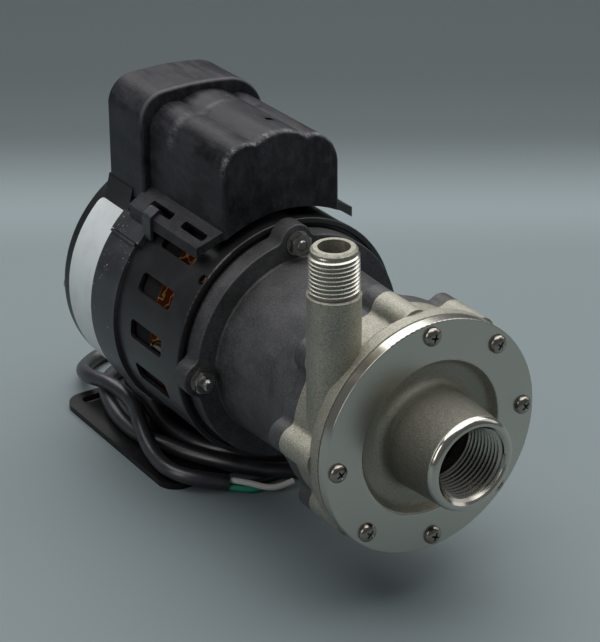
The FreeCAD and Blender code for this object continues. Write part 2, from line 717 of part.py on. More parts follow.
def bracket_nuts():
    """Hex nuts with turned-down corners on the front ends of the through bolts."""
    made = []
    crown = NUT_FLATS / 2
    corner = NUT_FLATS / math.sqrt(3)
    front = NUT_FACE - NUT_HEIGHT
    for i, angle in enumerate(lug_angles()):
        x, rise = polar(LUG_R, angle)
        nut = hexagon(NUT_FLATS, front, NUT_FACE, x, rise, 18.0 * i + 8.0)
        dome = Part.makeCone(crown, crown + NUT_HEIGHT * 2, NUT_HEIGHT, place(x, front, rise), V(0, 1, 0))
        nut = nut.common(dome) if crown + NUT_HEIGHT > corner else nut
        made.append(nut.cut(rod(BOLT_DIA / 2 + SEAT, front - 1, NUT_FACE + 1, x, rise)))
    return group(made)


def nut_washers():
    return group([tube(NUT_WASHER_DIA / 2, BOLT_DIA / 2 + SEAT, NUT_FACE, LUG_FACE, *polar(LUG_R, a))
                  for a in lug_angles()])


def through_bolts():
    """Long bolts that clamp the two shells, the core and the bracket together."""
    made = []
    for angle, proud in zip(lug_angles(), BOLT_PROUD):
        x, rise = polar(LUG_R, angle)
        start = NUT_FACE - NUT_HEIGHT - proud
        shank = rod(BOLT_DIA / 2, start, REAR_EDGE_STATION + 0.5, x, rise)
        tip = [e for e in shank.Edges if e.BoundBox.YMax < at(start) + 0.01]
        head = rod(BOLT_HEAD_DIA / 2, REAR_EDGE_STATION, REAR_EDGE_STATION + BOLT_HEAD_HEIGHT, x, rise)
        made.append(joined([shank.makeChamfer(0.6, tip), head]))
    return group(made)


# Motor shells

def windows():
    """Cutters for the ventilation windows round the front shell."""
    tall, deep = WINDOW_HEIGHT / 2, SHELL_WALL * 3
    corners = [(-tall, -WINDOW_LENGTH / 2), (tall, -WINDOW_LENGTH / 2), (tall, WINDOW_LENGTH / 2),
               (-tall, WINDOW_LENGTH / 2)]
    points = [(place(SHELL_R - deep, WINDOW_STATION + s, rise), WINDOW_CORNER) for rise, s in corners]
    cutter = rounded_face(points).extrude(V(2 * deep, 0, 0))
    return [spun(cutter, WINDOW_FIRST + WINDOW_PITCH * i) for i in range(WINDOW_COUNT)]


def bolt_holes(start, end):
    return rods_round(LUG_R, lug_angles(), BOLT_DIA / 2 + CLEAR, start, end)


def motor_front_shell():
    """The drawn front shell: rolled lip, end wall with the bearing boss, and the ring of windows."""
    boss_r = BEARING_DIA / 2 + BEARING_BOSS_WALL
    profile = [
        (boss_r - BEARING_BOSS_WALL + SEAT, END_WALL, 0), (SHELL_INNER_R - 0.4, END_WALL, 0),
        (SHELL_INNER_R - 0.4, LIP_STATION, 0.6), (LIP_DIA / 2, LIP_STATION, 0.8),
        (LIP_DIA / 2, LIP_STATION + LIP_WIDTH, 0), (SHELL_R, LIP_STATION + LIP_WIDTH, 0),
        (SHELL_R, SHELL_SPLIT_STATION, 0), (SHELL_INNER_R, SHELL_SPLIT_STATION, 0),
        (SHELL_INNER_R, END_WALL + END_WALL_THICK, 0.5), (boss_r, END_WALL + END_WALL_THICK, 1.0),
        (boss_r, FRONT_BEARING_END, 0), (boss_r - BEARING_BOSS_WALL + SEAT, FRONT_BEARING_END, 0),
    ]
    hole = Part.makeCylinder(LIP_HOLE_DIA / 2, LIP_HOLE_DEPTH + 2, place(LIP_DIA / 2 - LIP_HOLE_DEPTH, LIP_HOLE_STATION, 0),
                             V(1, 0, 0))
    cutters = windows() + bolt_holes(END_WALL - 1, END_WALL + END_WALL_THICK + 1) + [spun(hole, LIP_HOLE_ANGLE)]
    return turned(profile).cut(cutters)


def seat_block():
    """The raised saddle on the rear shell that the top cover's rear end stands on."""
    left, right = -REAR_LEFT_WIDTH, REAR_RIGHT_WIDTH
    feet = [polar(SHELL_R - SHELL_WALL / 4, angle) for angle in SEAT_BLOCK_FOOT_ANGLES]
    outline = [feet[0], (left, SEAT_BLOCK_TOP), (right, SEAT_BLOCK_TOP), feet[1]]
    points = [place(x, SEAT_BLOCK_START, rise) for x, rise in outline]
    block = Part.Face(Part.makePolygon(points + points[:1])).extrude(V(0, COVER_REAR_STATION - SEAT_BLOCK_START, 0))
    return block.cut(rod(SHELL_INNER_R + SHELL_WALL / 2, SEAT_BLOCK_START - 1, COVER_REAR_STATION + 1))


def rear_vents():
    """Cutters for the radial cooling slots in the rear end wall."""
    span = REAR_VENT_OUTER - REAR_VENT_INNER
    half = REAR_VENT_WIDTH / 2
    corners = [(0, -half), (span, -half), (span, half), (0, half)]
    points = [(place(REAR_VENT_INNER + u, REAR_WALL - 1, rise), half * 0.98) for u, rise in corners]
    slot = rounded_face(points).extrude(V(0, SHELL_WALL + 2, 0))
    return [spun(slot, 360.0 / REAR_VENT_COUNT * (i + 0.5)) for i in range(REAR_VENT_COUNT)]


def motor_rear_shell():
    """The rear cup: straight side, shoulder for the bolt heads, raised vented end wall and the rear bearing boss."""
    boss_r = BEARING_DIA / 2 + BEARING_BOSS_WALL
    dome_r = REAR_DOME_DIA / 2
    profile = [
        (0, MOTOR_REAR, 0), (dome_r, MOTOR_REAR, REAR_DOME_ROUND), (dome_r, REAR_EDGE_STATION, 0),
        (SHELL_R, REAR_EDGE_STATION, SHELL_WALL * 0.9), (SHELL_R, SHELL_SPLIT_STATION, 0),
        (SHELL_INNER_R, SHELL_SPLIT_STATION, 0), (SHELL_INNER_R, REAR_EDGE_STATION - SHELL_WALL, 0),
        (dome_r - SHELL_WALL, REAR_EDGE_STATION - SHELL_WALL, 0),
        (dome_r - SHELL_WALL, REAR_WALL, REAR_DOME_ROUND - SHELL_WALL), (boss_r, REAR_WALL, 0), (boss_r, REAR_BEARING_START, 0), (boss_r - BEARING_BOSS_WALL + SEAT, REAR_BEARING_START, 0),
        (boss_r - BEARING_BOSS_WALL + SEAT, REAR_WALL, 0), (0, REAR_WALL, 0),
    ]
    bolt_way = bolt_holes(REAR_EDGE_STATION - SHELL_WALL - 1, REAR_EDGE_STATION + 1)
    cutters = rear_vents() + bolt_way + [gland_hole()]
    return joined([turned(profile), seat_block()]).cut(cutters)


# Motor inner parts

def stator_core():
    """Laminated core with open slots to the bore and a notch for each through bolt."""
    core = tube(STATOR_DIA / 2, STATOR_BORE_DIA / 2, CORE_STATION, CORE_END)
    root = Part.makeBox(STATOR_SLOT_DEPTH, CORE_LENGTH + 2, STATOR_SLOT_WIDTH,
                        place(STATOR_BORE_DIA / 2 + 2.0, CORE_STATION - 1, -STATOR_SLOT_WIDTH / 2))
    mouth = Part.makeBox(6.0, CORE_LENGTH + 2, 1.6, place(STATOR_BORE_DIA / 2 - 2.0, CORE_STATION - 1, -0.8))
    slot = joined([root, mouth])
    slots = [spun(slot, 360.0 / STATOR_SLOTS * i) for i in range(STATOR_SLOTS)]
    return core.cut(slots + bolt_holes(CORE_STATION - 1, CORE_END + 1))


def winding(start, end):
    inner, outer = WINDING_INNER_DIA / 2, WINDING_R
    return turned([(inner, start, WINDING_ROUND), (outer, start, WINDING_ROUND), (outer, end, WINDING_ROUND / 2),
                   (inner, end, WINDING_ROUND / 2)])


def front_windings():
    return winding(CORE_STATION - WINDING_LENGTH, CORE_STATION)


def rear_windings():
    return winding(CORE_END, CORE_END + WINDING_LENGTH * 0.86)


def rotor_core():
    return tube(ROTOR_DIA / 2, SHAFT_CORE_DIA / 2 + SEAT, CORE_STATION, CORE_END)


def rotor_end_rings():
    bore = SHAFT_CORE_DIA / 2 + 6.0
    return group([tube(ROTOR_RING_DIA / 2, bore, CORE_STATION - ROTOR_RING_LENGTH, CORE_STATION),
                  tube(ROTOR_RING_DIA / 2, bore, CORE_END, CORE_END + ROTOR_RING_LENGTH)])


def motor_shaft():
    """Stepped shaft: thin nose for the drive magnet, journals for the bearings, thick middle for the rotor."""
    thin, journal, thick = SHAFT_DIA / 2, SHAFT_JOURNAL_DIA / 2, SHAFT_CORE_DIA / 2
    shoulder = FRONT_BEARING_START - 6.0
    rear_shoulder = FAN_START - 1.0
    end = REAR_WALL - 1.0
    profile = [
        (0, SHAFT_TIP, 0), (thin, SHAFT_TIP, 0.6), (thin, shoulder, 0), (journal, shoulder, 0),
        (journal, FRONT_BEARING_END + 1.0, 0), (thick, FRONT_BEARING_END + 1.0, 0), (thick, rear_shoulder, 0),
        (journal, rear_shoulder, 0), (journal, end, 0.6), (0, end, 0),
    ]
    return turned(profile)


def bearing(start):
    return tube(BEARING_DIA / 2, SHAFT_JOURNAL_DIA / 2 + RUN, start, start + BEARING_LENGTH)


def cooling_fan():
    """Fan with pitched blades on the rear of the shaft, inside the rear shell."""
    hub = rod(FAN_HUB_DIA / 2, FAN_START, FAN_END)
    reach = FAN_DIA / 2 - FAN_HUB_DIA / 2 + 2.0
    chord = FAN_LENGTH / math.cos(math.radians(FAN_PITCH)) * 0.86
    blade = Part.makeBox(reach, chord, FAN_BLADE_THICK, V(FAN_HUB_DIA / 2 - 2.0, -chord / 2, -FAN_BLADE_THICK / 2))
    blade.rotate(V(0, 0, 0), V(1, 0, 0), FAN_PITCH)
    blade.translate(place(0, (FAN_START + FAN_END) / 2, 0))
    blades = [spun(blade, 360.0 / FAN_BLADES * i) for i in range(FAN_BLADES)]
    return joined([hub] + blades).cut(rod(SHAFT_JOURNAL_DIA / 2 + SEAT, FAN_START - 2, FAN_END + 2))


# Strap round the motor

def motor_band():
    """The long moulded strap under the motor, from one seam to the other, with a raised lip at each end."""
    inner = SHELL_R + SEAT
    span_end = 180.0 - BAND_SEAM_ANGLE + 360.0
    strap = curved_bar(BAND_R, inner, BAND_START, BAND_END, BAND_SEAM_ANGLE, span_end)
    lip = curved_bar(BAND_R + 0.9, BAND_R - 0.5, BAND_START, BAND_END, BAND_SEAM_ANGLE, BAND_SEAM_ANGLE + 1.3)
    return joined([strap, lip, mirrored(lip)])


def ear_point(u, d, station):
    """A point on the ear: u runs up its face from the outer edge and d is the height over the face."""
    slope = math.radians(EAR_SLOPE)
    x = -EAR_SIDE + u * math.cos(slope) - d * math.sin(slope)
    return place(x, station, EAR_EDGE_RISE + u * math.sin(slope) + d * math.cos(slope))


def band_clip():
    """The short thick end of the strap, with a tongue that hooks over the ear into its rear slot."""
    base = curved_bar(SHELL_R + SEAT + CLIP_THICK, SHELL_R + SEAT, BAND_START - CLIP_LEAD, BAND_END,
                      CLIP_ANGLE, BAND_SEAM_ANGLE - 0.3)
    start = CLIP_TONGUE_STATION - CLIP_TONGUE_WIDTH / 2
    gap = SEAT * 2
    top = gap + CLIP_TONGUE_THICK
    leg = EAR_SLOT_OFFSET - EAR_SLOT_WIDTH / 2 + gap
    lean = (math.sin(math.radians(EAR_SLOPE)) - 1) / math.cos(math.radians(EAR_SLOPE))
    foot = (SHELL_R + SEAT + CLIP_THICK / 2) * math.sin(math.radians(BAND_SEAM_ANGLE - 5.0))
    points = [
        (place(-EAR_SIDE - top, start, foot), 0), (ear_point(top * lean, top, start), 2.2),
        (ear_point(leg + CLIP_TONGUE_THICK, top, start), 1.2),
        (ear_point(leg + CLIP_TONGUE_THICK, -CLIP_TONGUE_DEPTH, start), 0),
        (ear_point(leg, -CLIP_TONGUE_DEPTH, start), 0), (ear_point(leg, gap, start), 0),
        (ear_point(gap * lean, gap, start), 0.2), (place(-EAR_SIDE - gap, start, foot), 0),
    ]
    return joined([base, rounded_face(points).extrude(V(0, CLIP_TONGUE_WIDTH, 0))])


def band_clips():
    clip = band_clip()
    return group([clip, mirrored(clip)])


# Top cover and what it holds

def arc_through(points, station):
    return Part.Arc(*[place(x, station, rise) for x, rise in points]).toShape()


def line_through(points, station):
    return Part.LineSegment(*[place(x, station, rise) for x, rise in points]).toShape()


def outline_face(parts, station):
    """A face from runs of two points and arcs of three points, each starting where the last ended."""
    edges = [arc_through(p, station) if len(p) == 3 else line_through(p, station) for p in parts]
    return Part.Face(Part.Wire(edges))


def front_outline(inset, station):
    """The three-lobed outline of the cover's front block, drawn in by an inset."""
    side = FRONT_HALF_WIDTH - inset
    lean = 0.5
    left_top = FRONT_SHOULDER_LEFT - inset
    right_top = FRONT_SHOULDER_RIGHT - inset
    crown = FRONT_CROWN - inset
    left_valley = (-FRONT_VALLEY, left_top - 0.7)
    right_valley = (FRONT_VALLEY + 0.4, right_top - 0.1)
    left_corner = (-side + lean, left_top - 12.5)
    right_corner = (side - lean, right_top - 15.5)
    left_end = (-20.0, left_top)
    right_end = (20.6, right_top - 0.8)
    parts = [
        [(-side, COVER_FOOT), left_corner],
        [left_corner, (-side + 3.4, left_top - 4.2), left_end],
        [left_end, (-16.5, left_top + 0.1), left_valley],
        [left_valley, (-1.6, crown), right_valley],
        [right_valley, (17.4, right_top + 0.1), right_end],
        [right_end, (side - 3.6, right_top - 6.4), right_corner],
        [right_corner, (side, COVER_FOOT)],
        [(side, COVER_FOOT), (-side, COVER_FOOT)],
    ]
    return outline_face(parts, station)


def rear_outline(inset, station):
    """The taller outline of the cover's rear block."""
    left = REAR_LEFT_WIDTH - inset
    right = REAR_RIGHT_WIDTH - inset
    crown = REAR_CROWN - inset
    left_corner = (-left + 0.3, crown - 14.5)
    left_end = (-left + 12.0, crown - 0.6)
    dip = (14.6, crown - 1.6)
    right_corner = (right - 0.4, crown - 21.0)
    parts = [
        [(-left, COVER_FOOT), left_corner],
        [left_corner, (-left + 3.2, crown - 5.4), left_end],
        [left_end, (-6.0, crown), dip],
        [dip, (right - 8.0, crown - 6.0), right_corner],
        [right_corner, (right, COVER_FOOT)],
        [(right, COVER_FOOT), (-left, COVER_FOOT)],
    ]
    return outline_face(parts, station)


def softened(block, station, radius):
    """Rounds the edges that lie in the plane of one station."""
    edges = [e for e in block.Edges
             if abs(e.BoundBox.YMin - at(station)) < 0.01 and abs(e.BoundBox.YMax - at(station)) < 0.01
             and e.BoundBox.ZMax > AXIS_HEIGHT + COVER_FOOT + 1]
    return block.makeFillet(radius, edges)


def ear():
    """The sloping bar along the cover's lower side, with a skewed front end."""
    inner = -FRONT_HALF_WIDTH + COVER_WALL / 2
    reach = (EAR_SIDE + inner) / math.cos(math.radians(EAR_SLOPE))
    start = EAR_START - EAR_SKEW * 1.2
    low = EAR_EDGE_RISE - EAR_SLOT_DEPTH - 1.0
    section = [ear_point(0, 0, start), ear_point(reach, 0, start), place(inner, start, low), place(-EAR_SIDE, start, low)]
    bar = Part.Face(Part.makePolygon(section + section[:1])).extrude(V(0, EAR_END - start, 0))
    plan = [floor_point(-EAR_SIDE, EAR_START, AXIS_HEIGHT), floor_point(inner, start, AXIS_HEIGHT),
            floor_point(-EAR_SIDE, start, AXIS_HEIGHT)]
    return bar.cut(Part.Face(Part.makePolygon(plan + plan[:1])).extrude(V(0, 0, SHELL_DIA)))


def ear_slots():
    """Cutters for the ear's two slots, square to its sloping face."""
    cutters = []
    down = ear_point(0, -EAR_SLOT_DEPTH, 0) - ear_point(0, 1.0, 0)
    for station in EAR_SLOT_STATIONS:
        ends = (station - EAR_SLOT_LENGTH / 2, station + EAR_SLOT_LENGTH / 2)
        low, high = EAR_SLOT_OFFSET - EAR_SLOT_WIDTH / 2, EAR_SLOT_OFFSET + EAR_SLOT_WIDTH / 2
        corners = [(low, ends[0]), (high, ends[0]), (high, ends[1]), (low, ends[1])]
        cutters.append(rounded_face([(ear_point(u, 1.0, s), 1.3) for u, s in corners]).extrude(down))
    return cutters


def top_cover():
    """Hollow two-step cover, open underneath, that stands on the motor and holds the capacitor."""
    front_length = COVER_STEP_STATION - COVER_FRONT_STATION + COVER_WALL
    rear_length = COVER_REAR_STATION - COVER_STEP_STATION
    front = front_outline(0.0, COVER_FRONT_STATION).extrude(V(0, front_length, 0))
    rear = rear_outline(0.0, COVER_STEP_STATION).extrude(V(0, rear_length, 0))
    front = softened(front, COVER_FRONT_STATION, COVER_EDGE_ROUND)
    rear = softened(softened(rear, COVER_REAR_STATION, COVER_EDGE_ROUND), COVER_STEP_STATION, COVER_EDGE_ROUND * 0.8)
    front_hollow = front_outline(COVER_WALL, COVER_FRONT_STATION + COVER_WALL).extrude(V(0, front_length, 0))
    rear_hollow = rear_outline(COVER_WALL, COVER_STEP_STATION + COVER_WALL).extrude(V(0, rear_length - 2 * COVER_WALL, 0))
    lifted = Part.makeCone(SHELL_R + COVER_LIFT_FRONT, SHELL_R + COVER_LIFT_REAR, COVER_REAR_STATION - COVER_FRONT_STATION,
                           place(0, COVER_FRONT_STATION, 0), V(0, 1, 0))
    below = Part.makeBox(SHELL_DIA, COVER_REAR_STATION - SEAT_BLOCK_START + COVER_WALL, SEAT_BLOCK_TOP + SEAT,
                         place(-SHELL_R, SEAT_BLOCK_START - SEAT, 0))
    ears = [ear(), mirrored(ear())]
    hollow = joined([front_hollow, rear_hollow])
    shell = joined([front.cut(hollow), rear.cut(hollow)])
    slots = ear_slots() + [mirrored(slot) for slot in ear_slots()]
    return joined([shell] + ears).cut([lifted, below] + slots)


def capacitor():
    """The motor's run capacitor, lying on the shell under the cover."""
    start = COVER_FRONT_STATION + COVER_WALL + CAPACITOR_GAP
    rise = SHELL_R + SEAT + CAPACITOR_DIA / 2
    can = rod(CAPACITOR_DIA / 2, start, start + CAPACITOR_LENGTH, 0, rise)
    rim = [e for e in can.Edges if isinstance(e.Curve, Part.Circle)]
    return can.makeFillet(2.0, rim)


# Foot

def motor_foot():
    """Flat slotted plate with a narrow pedestal whose top follows the motor and its strap."""
    plate = upright_slab(FOOT_WIDTH, FOOT_LENGTH, FOOT_THICK, FOOT_CORNER, 0)
    pedestal = upright_slab(PEDESTAL_WIDTH, PEDESTAL_LENGTH, AXIS_HEIGHT / 2, PEDESTAL_CORNER, FOOT_THICK / 2)
    saddle = rod(SHELL_R + SEAT, PEDESTAL_START - 5, PEDESTAL_END + 5)
    strap_way = rod(BAND_R + SEAT, BAND_START - CLEAR, BAND_END + CLEAR)
    foot = joined([plate, pedestal.cut([saddle, strap_way])])
    slots = []
    for sx in (-1, 1):
        for sy in (-1, 1):
            slot = upright_slab(SLOT_LENGTH, SLOT_WIDTH, FOOT_THICK + 2, SLOT_WIDTH / 2 * 0.999, -1)
            slot.translate(V(sx * SLOT_SPACING_X / 2, sy * SLOT_SPACING_Y / 2, 0))
            slots.append(slot)
    return foot.cut(slots)


# Supply cord

def gland_direction():
    x, rise = polar(1.0, GLAND_ANGLE)
    return V(x, 0, rise)


def gland_foot():
    x, rise = polar(SHELL_R, GLAND_ANGLE)
    return place(x, GLAND_STATION, rise)


def gland_hole():
    start = gland_foot() - gland_direction() * (SHELL_WALL * 3)
    return Part.makeCylinder(GLAND_FOOT_DIA / 2 - 1.5, SHELL_WALL * 5, start, gland_direction())


def cord_strain_relief():
    """Tapered bushing in the rear shell, with a collar on the shell and the neck inside the hole."""
    way = gland_direction()
    foot = gland_foot()
    neck_r = GLAND_FOOT_DIA / 2 - 1.5 - SEAT
    neck = Part.makeCylinder(neck_r, SHELL_WALL + 2.0, foot - way * (SHELL_WALL + 1.5), way)
    collar = Part.makeCylinder(GLAND_FOOT_DIA / 2 + 1.0, 2.5, foot + way * 0.1, way)
    cone = Part.makeCone(GLAND_FOOT_DIA / 2, GLAND_TIP_DIA / 2, GLAND_LENGTH, foot + way * 0.1, way)
    return joined([neck, collar, cone]).cut(rod(SHELL_INNER_R - 1.5, GLAND_STATION - 10, GLAND_STATION + 10))


def cord_points(route):
    """The route with the largest arc that each pair of runs allows."""
    points = [floor_point(*p) if not isinstance(p, V) else p for p in route]
    made = [(points[0], 0.0)]
    for before, corner, after in zip(points, points[1:], points[2:]):
        half = (before - corner).getAngle(after - corner) / 2
        turn_half = math.pi / 2 - half
        shorter = min(before.distanceToPoint(corner), after.distanceToPoint(corner))
        made.append((corner, 0.45 * shorter / math.tan(turn_half)))
    made.append((points[-1], 0.0))
    return made


def cord_tube(route, diameter, name):
    """A plain tube along straight runs joined by tangent arcs."""
    made = cord_points(route)
    edges = rounded_edges(made, False)
    path = Part.Wire(edges)
    start = made[0][0]
    circle = Part.Wire(Part.makeCircle(diameter / 2, start, made[1][0] - start))
    solid = path.makePipeShell([circle], True, False)
    section = math.pi * diameter ** 2 / 4
    print(name, "radii", [round(r, 1) for _, r in made[1:-1]], "length", round(path.Length, 1),
          "volume over section times length", round(solid.Volume / (section * path.Length), 4))
    return solid


def cord_lead():
    start = gland_foot() + gland_direction() * (GLAND_LENGTH + CLEAR)
    straight = start + gland_direction() * LEAD_STRAIGHT
    return cord_tube([start, straight] + LEAD_ROUTE, CORD_DIA, "cord_lead")


def cord_loops():
    """Closed solid of the loose loops that lie on the foot round its pedestal."""
    base = SOFT
    outer = [(floor_point(x, s, base), r) for x, s, r in LOOPS_OUTLINE]
    well = [(floor_point(x, s, base - 1), r) for x, s, r in LOOPS_WELL]
    top = FOOT_THICK + LOOPS_HEIGHT
    coil = rounded_face(outer).extrude(V(0, 0, top - base))
    coil = coil.cut(rounded_face(well).extrude(V(0, 0, top + 2)))
    room = upright_slab(FOOT_WIDTH + 2 * SOFT, FOOT_LENGTH + 2 * SOFT, FOOT_THICK + SOFT + 1, FOOT_CORNER, -1)
    return coil.cut(room)


def cord_tail():
    return cord_tube(TAIL_ROUTE, CORD_DIA, "cord_tail")


def tail_end_frame():
    """The jacket's end point with the directions across it and up."""
    end = floor_point(*TAIL_ROUTE[-1])
    way = (end - floor_point(*TAIL_ROUTE[-2])).normalize()
    across = way.cross(V(0, 0, 1)).normalize()
    return end, way, across, across.cross(way)


def cord_conductors():
    """The three stripped conductors that leave the end of the jacket."""
    end, way, across, up = tail_end_frame()
    made = []
    for offsets, *route in CORE_WIRE_ROUTES:
        start = end + way * (CORE_WIRE_DIA / 4) + across * offsets[0] + up * offsets[1]
        made.append(cord_tube([start] + route, CORE_WIRE_DIA, "conductor"))
    return group(made)


MAKERS = {
    "front_cover": front_cover,
    "cover_screws": cover_screws,
    "cover_seal": cover_seal,
    "volute_housing": volute_housing,
    "containment_can": containment_can,
    "can_seal": can_seal,
    "impeller": impeller,
    "impeller_bushing": impeller_bushing,
    "driven_magnet": driven_magnet,
    "impeller_spindle": impeller_spindle,
    "spindle_nose": spindle_nose,
    "thrust_washers": thrust_washers,
    "drive_magnet_cup": drive_magnet_cup,
    "drive_magnet_ring": drive_magnet_ring,
    "hub_set_screw": hub_set_screw,
    "motor_bracket": motor_bracket,
    "bracket_inserts": bracket_inserts,
    "bracket_nuts": bracket_nuts,
    "nut_washers": nut_washers,
    "through_bolts": through_bolts,
    "motor_front_shell": motor_front_shell,
    "motor_rear_shell": motor_rear_shell,
    "stator_core": stator_core,
    "front_windings": front_windings,
    "rear_windings": rear_windings,
    "rotor_core": rotor_core,
    "rotor_end_rings": rotor_end_rings,
    "motor_shaft": motor_shaft,
    "front_bearing": lambda: bearing(FRONT_BEARING_START),
    "rear_bearing": lambda: bearing(REAR_BEARING_START),
    "cooling_fan": cooling_fan,
    "motor_band": motor_band,
    "band_clips": band_clips,
    "top_cover": top_cover,
    "capacitor": capacitor,
    "motor_foot": motor_foot,
    "cord_strain_relief": cord_strain_relief,
    "cord_lead": cord_lead,
    "cord_loops": cord_loops,
    "cord_tail": cord_tail,
    "cord_conductors": cord_conductors,
}


def main():
    os.makedirs("parts", exist_ok=True)
    for node, maker in MAKERS.items():
        shape = maker()
        solids = shape.Solids
        shape = solids[0] if len(solids) == 1 else Part.makeCompound(solids)
        box = shape.BoundBox
        print(node, "solids", len(solids), "valid", shape.isValid(), "volume", round(shape.Volume),
              "x", round(box.XMin, 1), round(box.XMax, 1), "y", round(box.YMin, 1), round(box.YMax, 1),
              "z", round(box.ZMin, 1), round(box.ZMax, 1))
        shape.exportStep("parts/" + node + ".step")


main()
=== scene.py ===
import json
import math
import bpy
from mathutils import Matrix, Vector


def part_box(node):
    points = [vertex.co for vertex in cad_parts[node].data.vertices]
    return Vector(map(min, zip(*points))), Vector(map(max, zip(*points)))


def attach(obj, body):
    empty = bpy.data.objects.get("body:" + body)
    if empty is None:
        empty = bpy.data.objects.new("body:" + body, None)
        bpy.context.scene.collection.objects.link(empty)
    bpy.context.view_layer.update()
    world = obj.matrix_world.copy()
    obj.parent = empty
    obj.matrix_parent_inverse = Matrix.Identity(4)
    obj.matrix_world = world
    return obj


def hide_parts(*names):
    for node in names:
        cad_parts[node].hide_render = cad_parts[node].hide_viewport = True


bl_info = {
    "name": "Magnetic Drive Pump",
    "version": (1, 0, 0),
    "blender": (4, 5, 0),
    "location": "3D Viewport > Sidebar > Pump",
    "description": "Adds threads, screws, windings, a cord and finishes to a packed pump, and sets a stage",
    "category": "Add Mesh",
}

import bpy
from bpy.props import FloatProperty, FloatVectorProperty, IntProperty, PointerProperty
from mathutils import Matrix, Vector

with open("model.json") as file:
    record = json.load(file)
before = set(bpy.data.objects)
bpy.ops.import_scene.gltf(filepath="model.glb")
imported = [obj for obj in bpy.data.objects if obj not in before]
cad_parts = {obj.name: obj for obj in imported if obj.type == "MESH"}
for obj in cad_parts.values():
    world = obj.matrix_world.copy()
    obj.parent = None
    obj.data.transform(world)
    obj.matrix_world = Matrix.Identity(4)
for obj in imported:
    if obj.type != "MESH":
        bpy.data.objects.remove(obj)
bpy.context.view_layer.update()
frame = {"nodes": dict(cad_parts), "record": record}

# The row frame has its origin under the middle of the foot. Its lengths are in metres.
# A station is a distance behind the front face of the cover, in millimetres. Angles are in degrees.
AXIS_Z = 0.075
FACE_Y = -0.1835
HOUSING = "pump_and_motor"
SINK = 0.0001
OUTLET_X, OUTLET_STATION = -0.0357, 20.0
OUTLET_LEAD, OUTLET_TAPER = 0.0012, 0.012
INLET_THREAD_STATION = -26.8
SCREW_CIRCLE, SCREW_TURN, SCREW_PLACES, EMPTY_PLACE = 0.0473, 1.7, 8, 3
BOLT_CIRCLE, BOLT_TURN, BOLTS_SEEN = 0.0517, 1.5, (0, 2, 3)
BOLT_ROOT, BOLT_CREST, BOLT_PITCH, BOLT_LEAD = 0.00245, 0.00272, 0.0008, 0.0006
CORE_START, CORE_END = 138.2, 183.8
FRONT_WINDING, REAR_WINDING = (121.5, 137.2), (185.0, 198.0)
WINDING_RADIUS, WINDING_REACH, WINDING_WIRES = 0.0402, 0.0078, 32
WIRE_RADIUS, FILLING_RADIUS = 0.00125, 0.0066
LACING_LOOPS, LACING_STATION = 32, 129.3
LACING_REACH, LACING_RADIUS = 0.0098, 0.0009
PLATE_RADIUS, PLATE_THICK, PLATE_CORNER = 0.05758, 0.00018, 0.003
PLATE_STATIONS, PLATE_ANGLES = (186.8, 209.6), (131.5, 222.0)
SLOT_X, SLOT_STATIONS = (0.0026, 0.0064), (128.4, 131.4)


def at(station_mm):
    """Row y of a station given in millimetres."""
    return FACE_Y + station_mm / 1000.0


# Modelling by hand, step by step

def deselect():
    """Leaves edit mode and selects nothing."""
    if bpy.context.object and bpy.context.object.mode != "OBJECT":
        bpy.ops.object.mode_set(mode="OBJECT")
    bpy.ops.object.select_all(action="DESELECT")


def only(obj):
    """Makes obj the one selected and active object."""
    deselect()
    obj.select_set(True)
    bpy.context.view_layer.objects.active = obj
    return obj


def named(name):
    """The primitive that was just added, under its own name."""
    obj = bpy.context.object
    obj.name = name
    obj.data.name = name
    return obj


def settle(obj):
    """Puts an object's place, turn and scale into its mesh."""
    only(obj)
    bpy.ops.object.transform_apply(location=True, rotation=True, scale=True)
    return obj


def pick(obj, kind, test):
    """Selects the vertices, edges or faces that pass a test on their place, and leaves edit mode on."""
    only(obj)
    bpy.ops.object.mode_set(mode="EDIT")
    bpy.ops.mesh.select_mode(type=kind)
    bpy.ops.mesh.select_all(action="DESELECT")
    bpy.ops.object.mode_set(mode="OBJECT")
    mesh = obj.data
    if kind == "VERT":
        for v in mesh.vertices:
            v.select = bool(test(v.co, None))
    elif kind == "EDGE":
        for e in mesh.edges:
            a, b = (mesh.vertices[i].co for i in e.vertices)
            e.select = bool(test((a + b) / 2, (b - a)))
    else:
        for p in mesh.polygons:
            p.select = bool(test(p.center, p.normal))
    bpy.ops.object.mode_set(mode="EDIT")
    return obj


def discard(obj):
    """Deletes obj."""
    only(obj)
    bpy.ops.object.delete()


def modify(obj, kind, **settings):
    """Adds a modifier to obj and applies it."""
    only(obj)
    bpy.ops.object.modifier_add(type=kind)
    modifier = obj.modifiers[-1]
    for key, value in settings.items():
        setattr(modifier, key, value)
    bpy.ops.object.modifier_apply(modifier=modifier.name)
    return obj


def outward(obj):
    """Merges doubles and points the faces outwards."""
    only(obj)
    bpy.ops.object.mode_set(mode="EDIT")
    bpy.ops.mesh.select_all(action="SELECT")
    bpy.ops.mesh.remove_doubles(threshold=1e-6)
    bpy.ops.mesh.normals_make_consistent(inside=False)
    bpy.ops.object.mode_set(mode="OBJECT")
    return obj


def copy_of(obj, name, matrix):
    """A copy with its own mesh, moved by a matrix."""
    twin = obj.copy()
    twin.data = obj.data.copy()
    twin.name = name
    bpy.context.collection.objects.link(twin)
    twin.data.transform(matrix)
    return twin


def merged(objects, name):
    """One object from several."""
    deselect()
    for o in objects:
        o.select_set(True)
    bpy.context.view_layer.objects.active = objects[0]
    if len(objects) > 1:
        bpy.ops.object.join()
    return named(name)


def smooth(obj, angle=35.0):
    """Shades obj smooth, apart from edges sharper than an angle."""
    only(obj)
    bpy.ops.object.shade_smooth_by_angle(angle=math.radians(angle))
    return obj


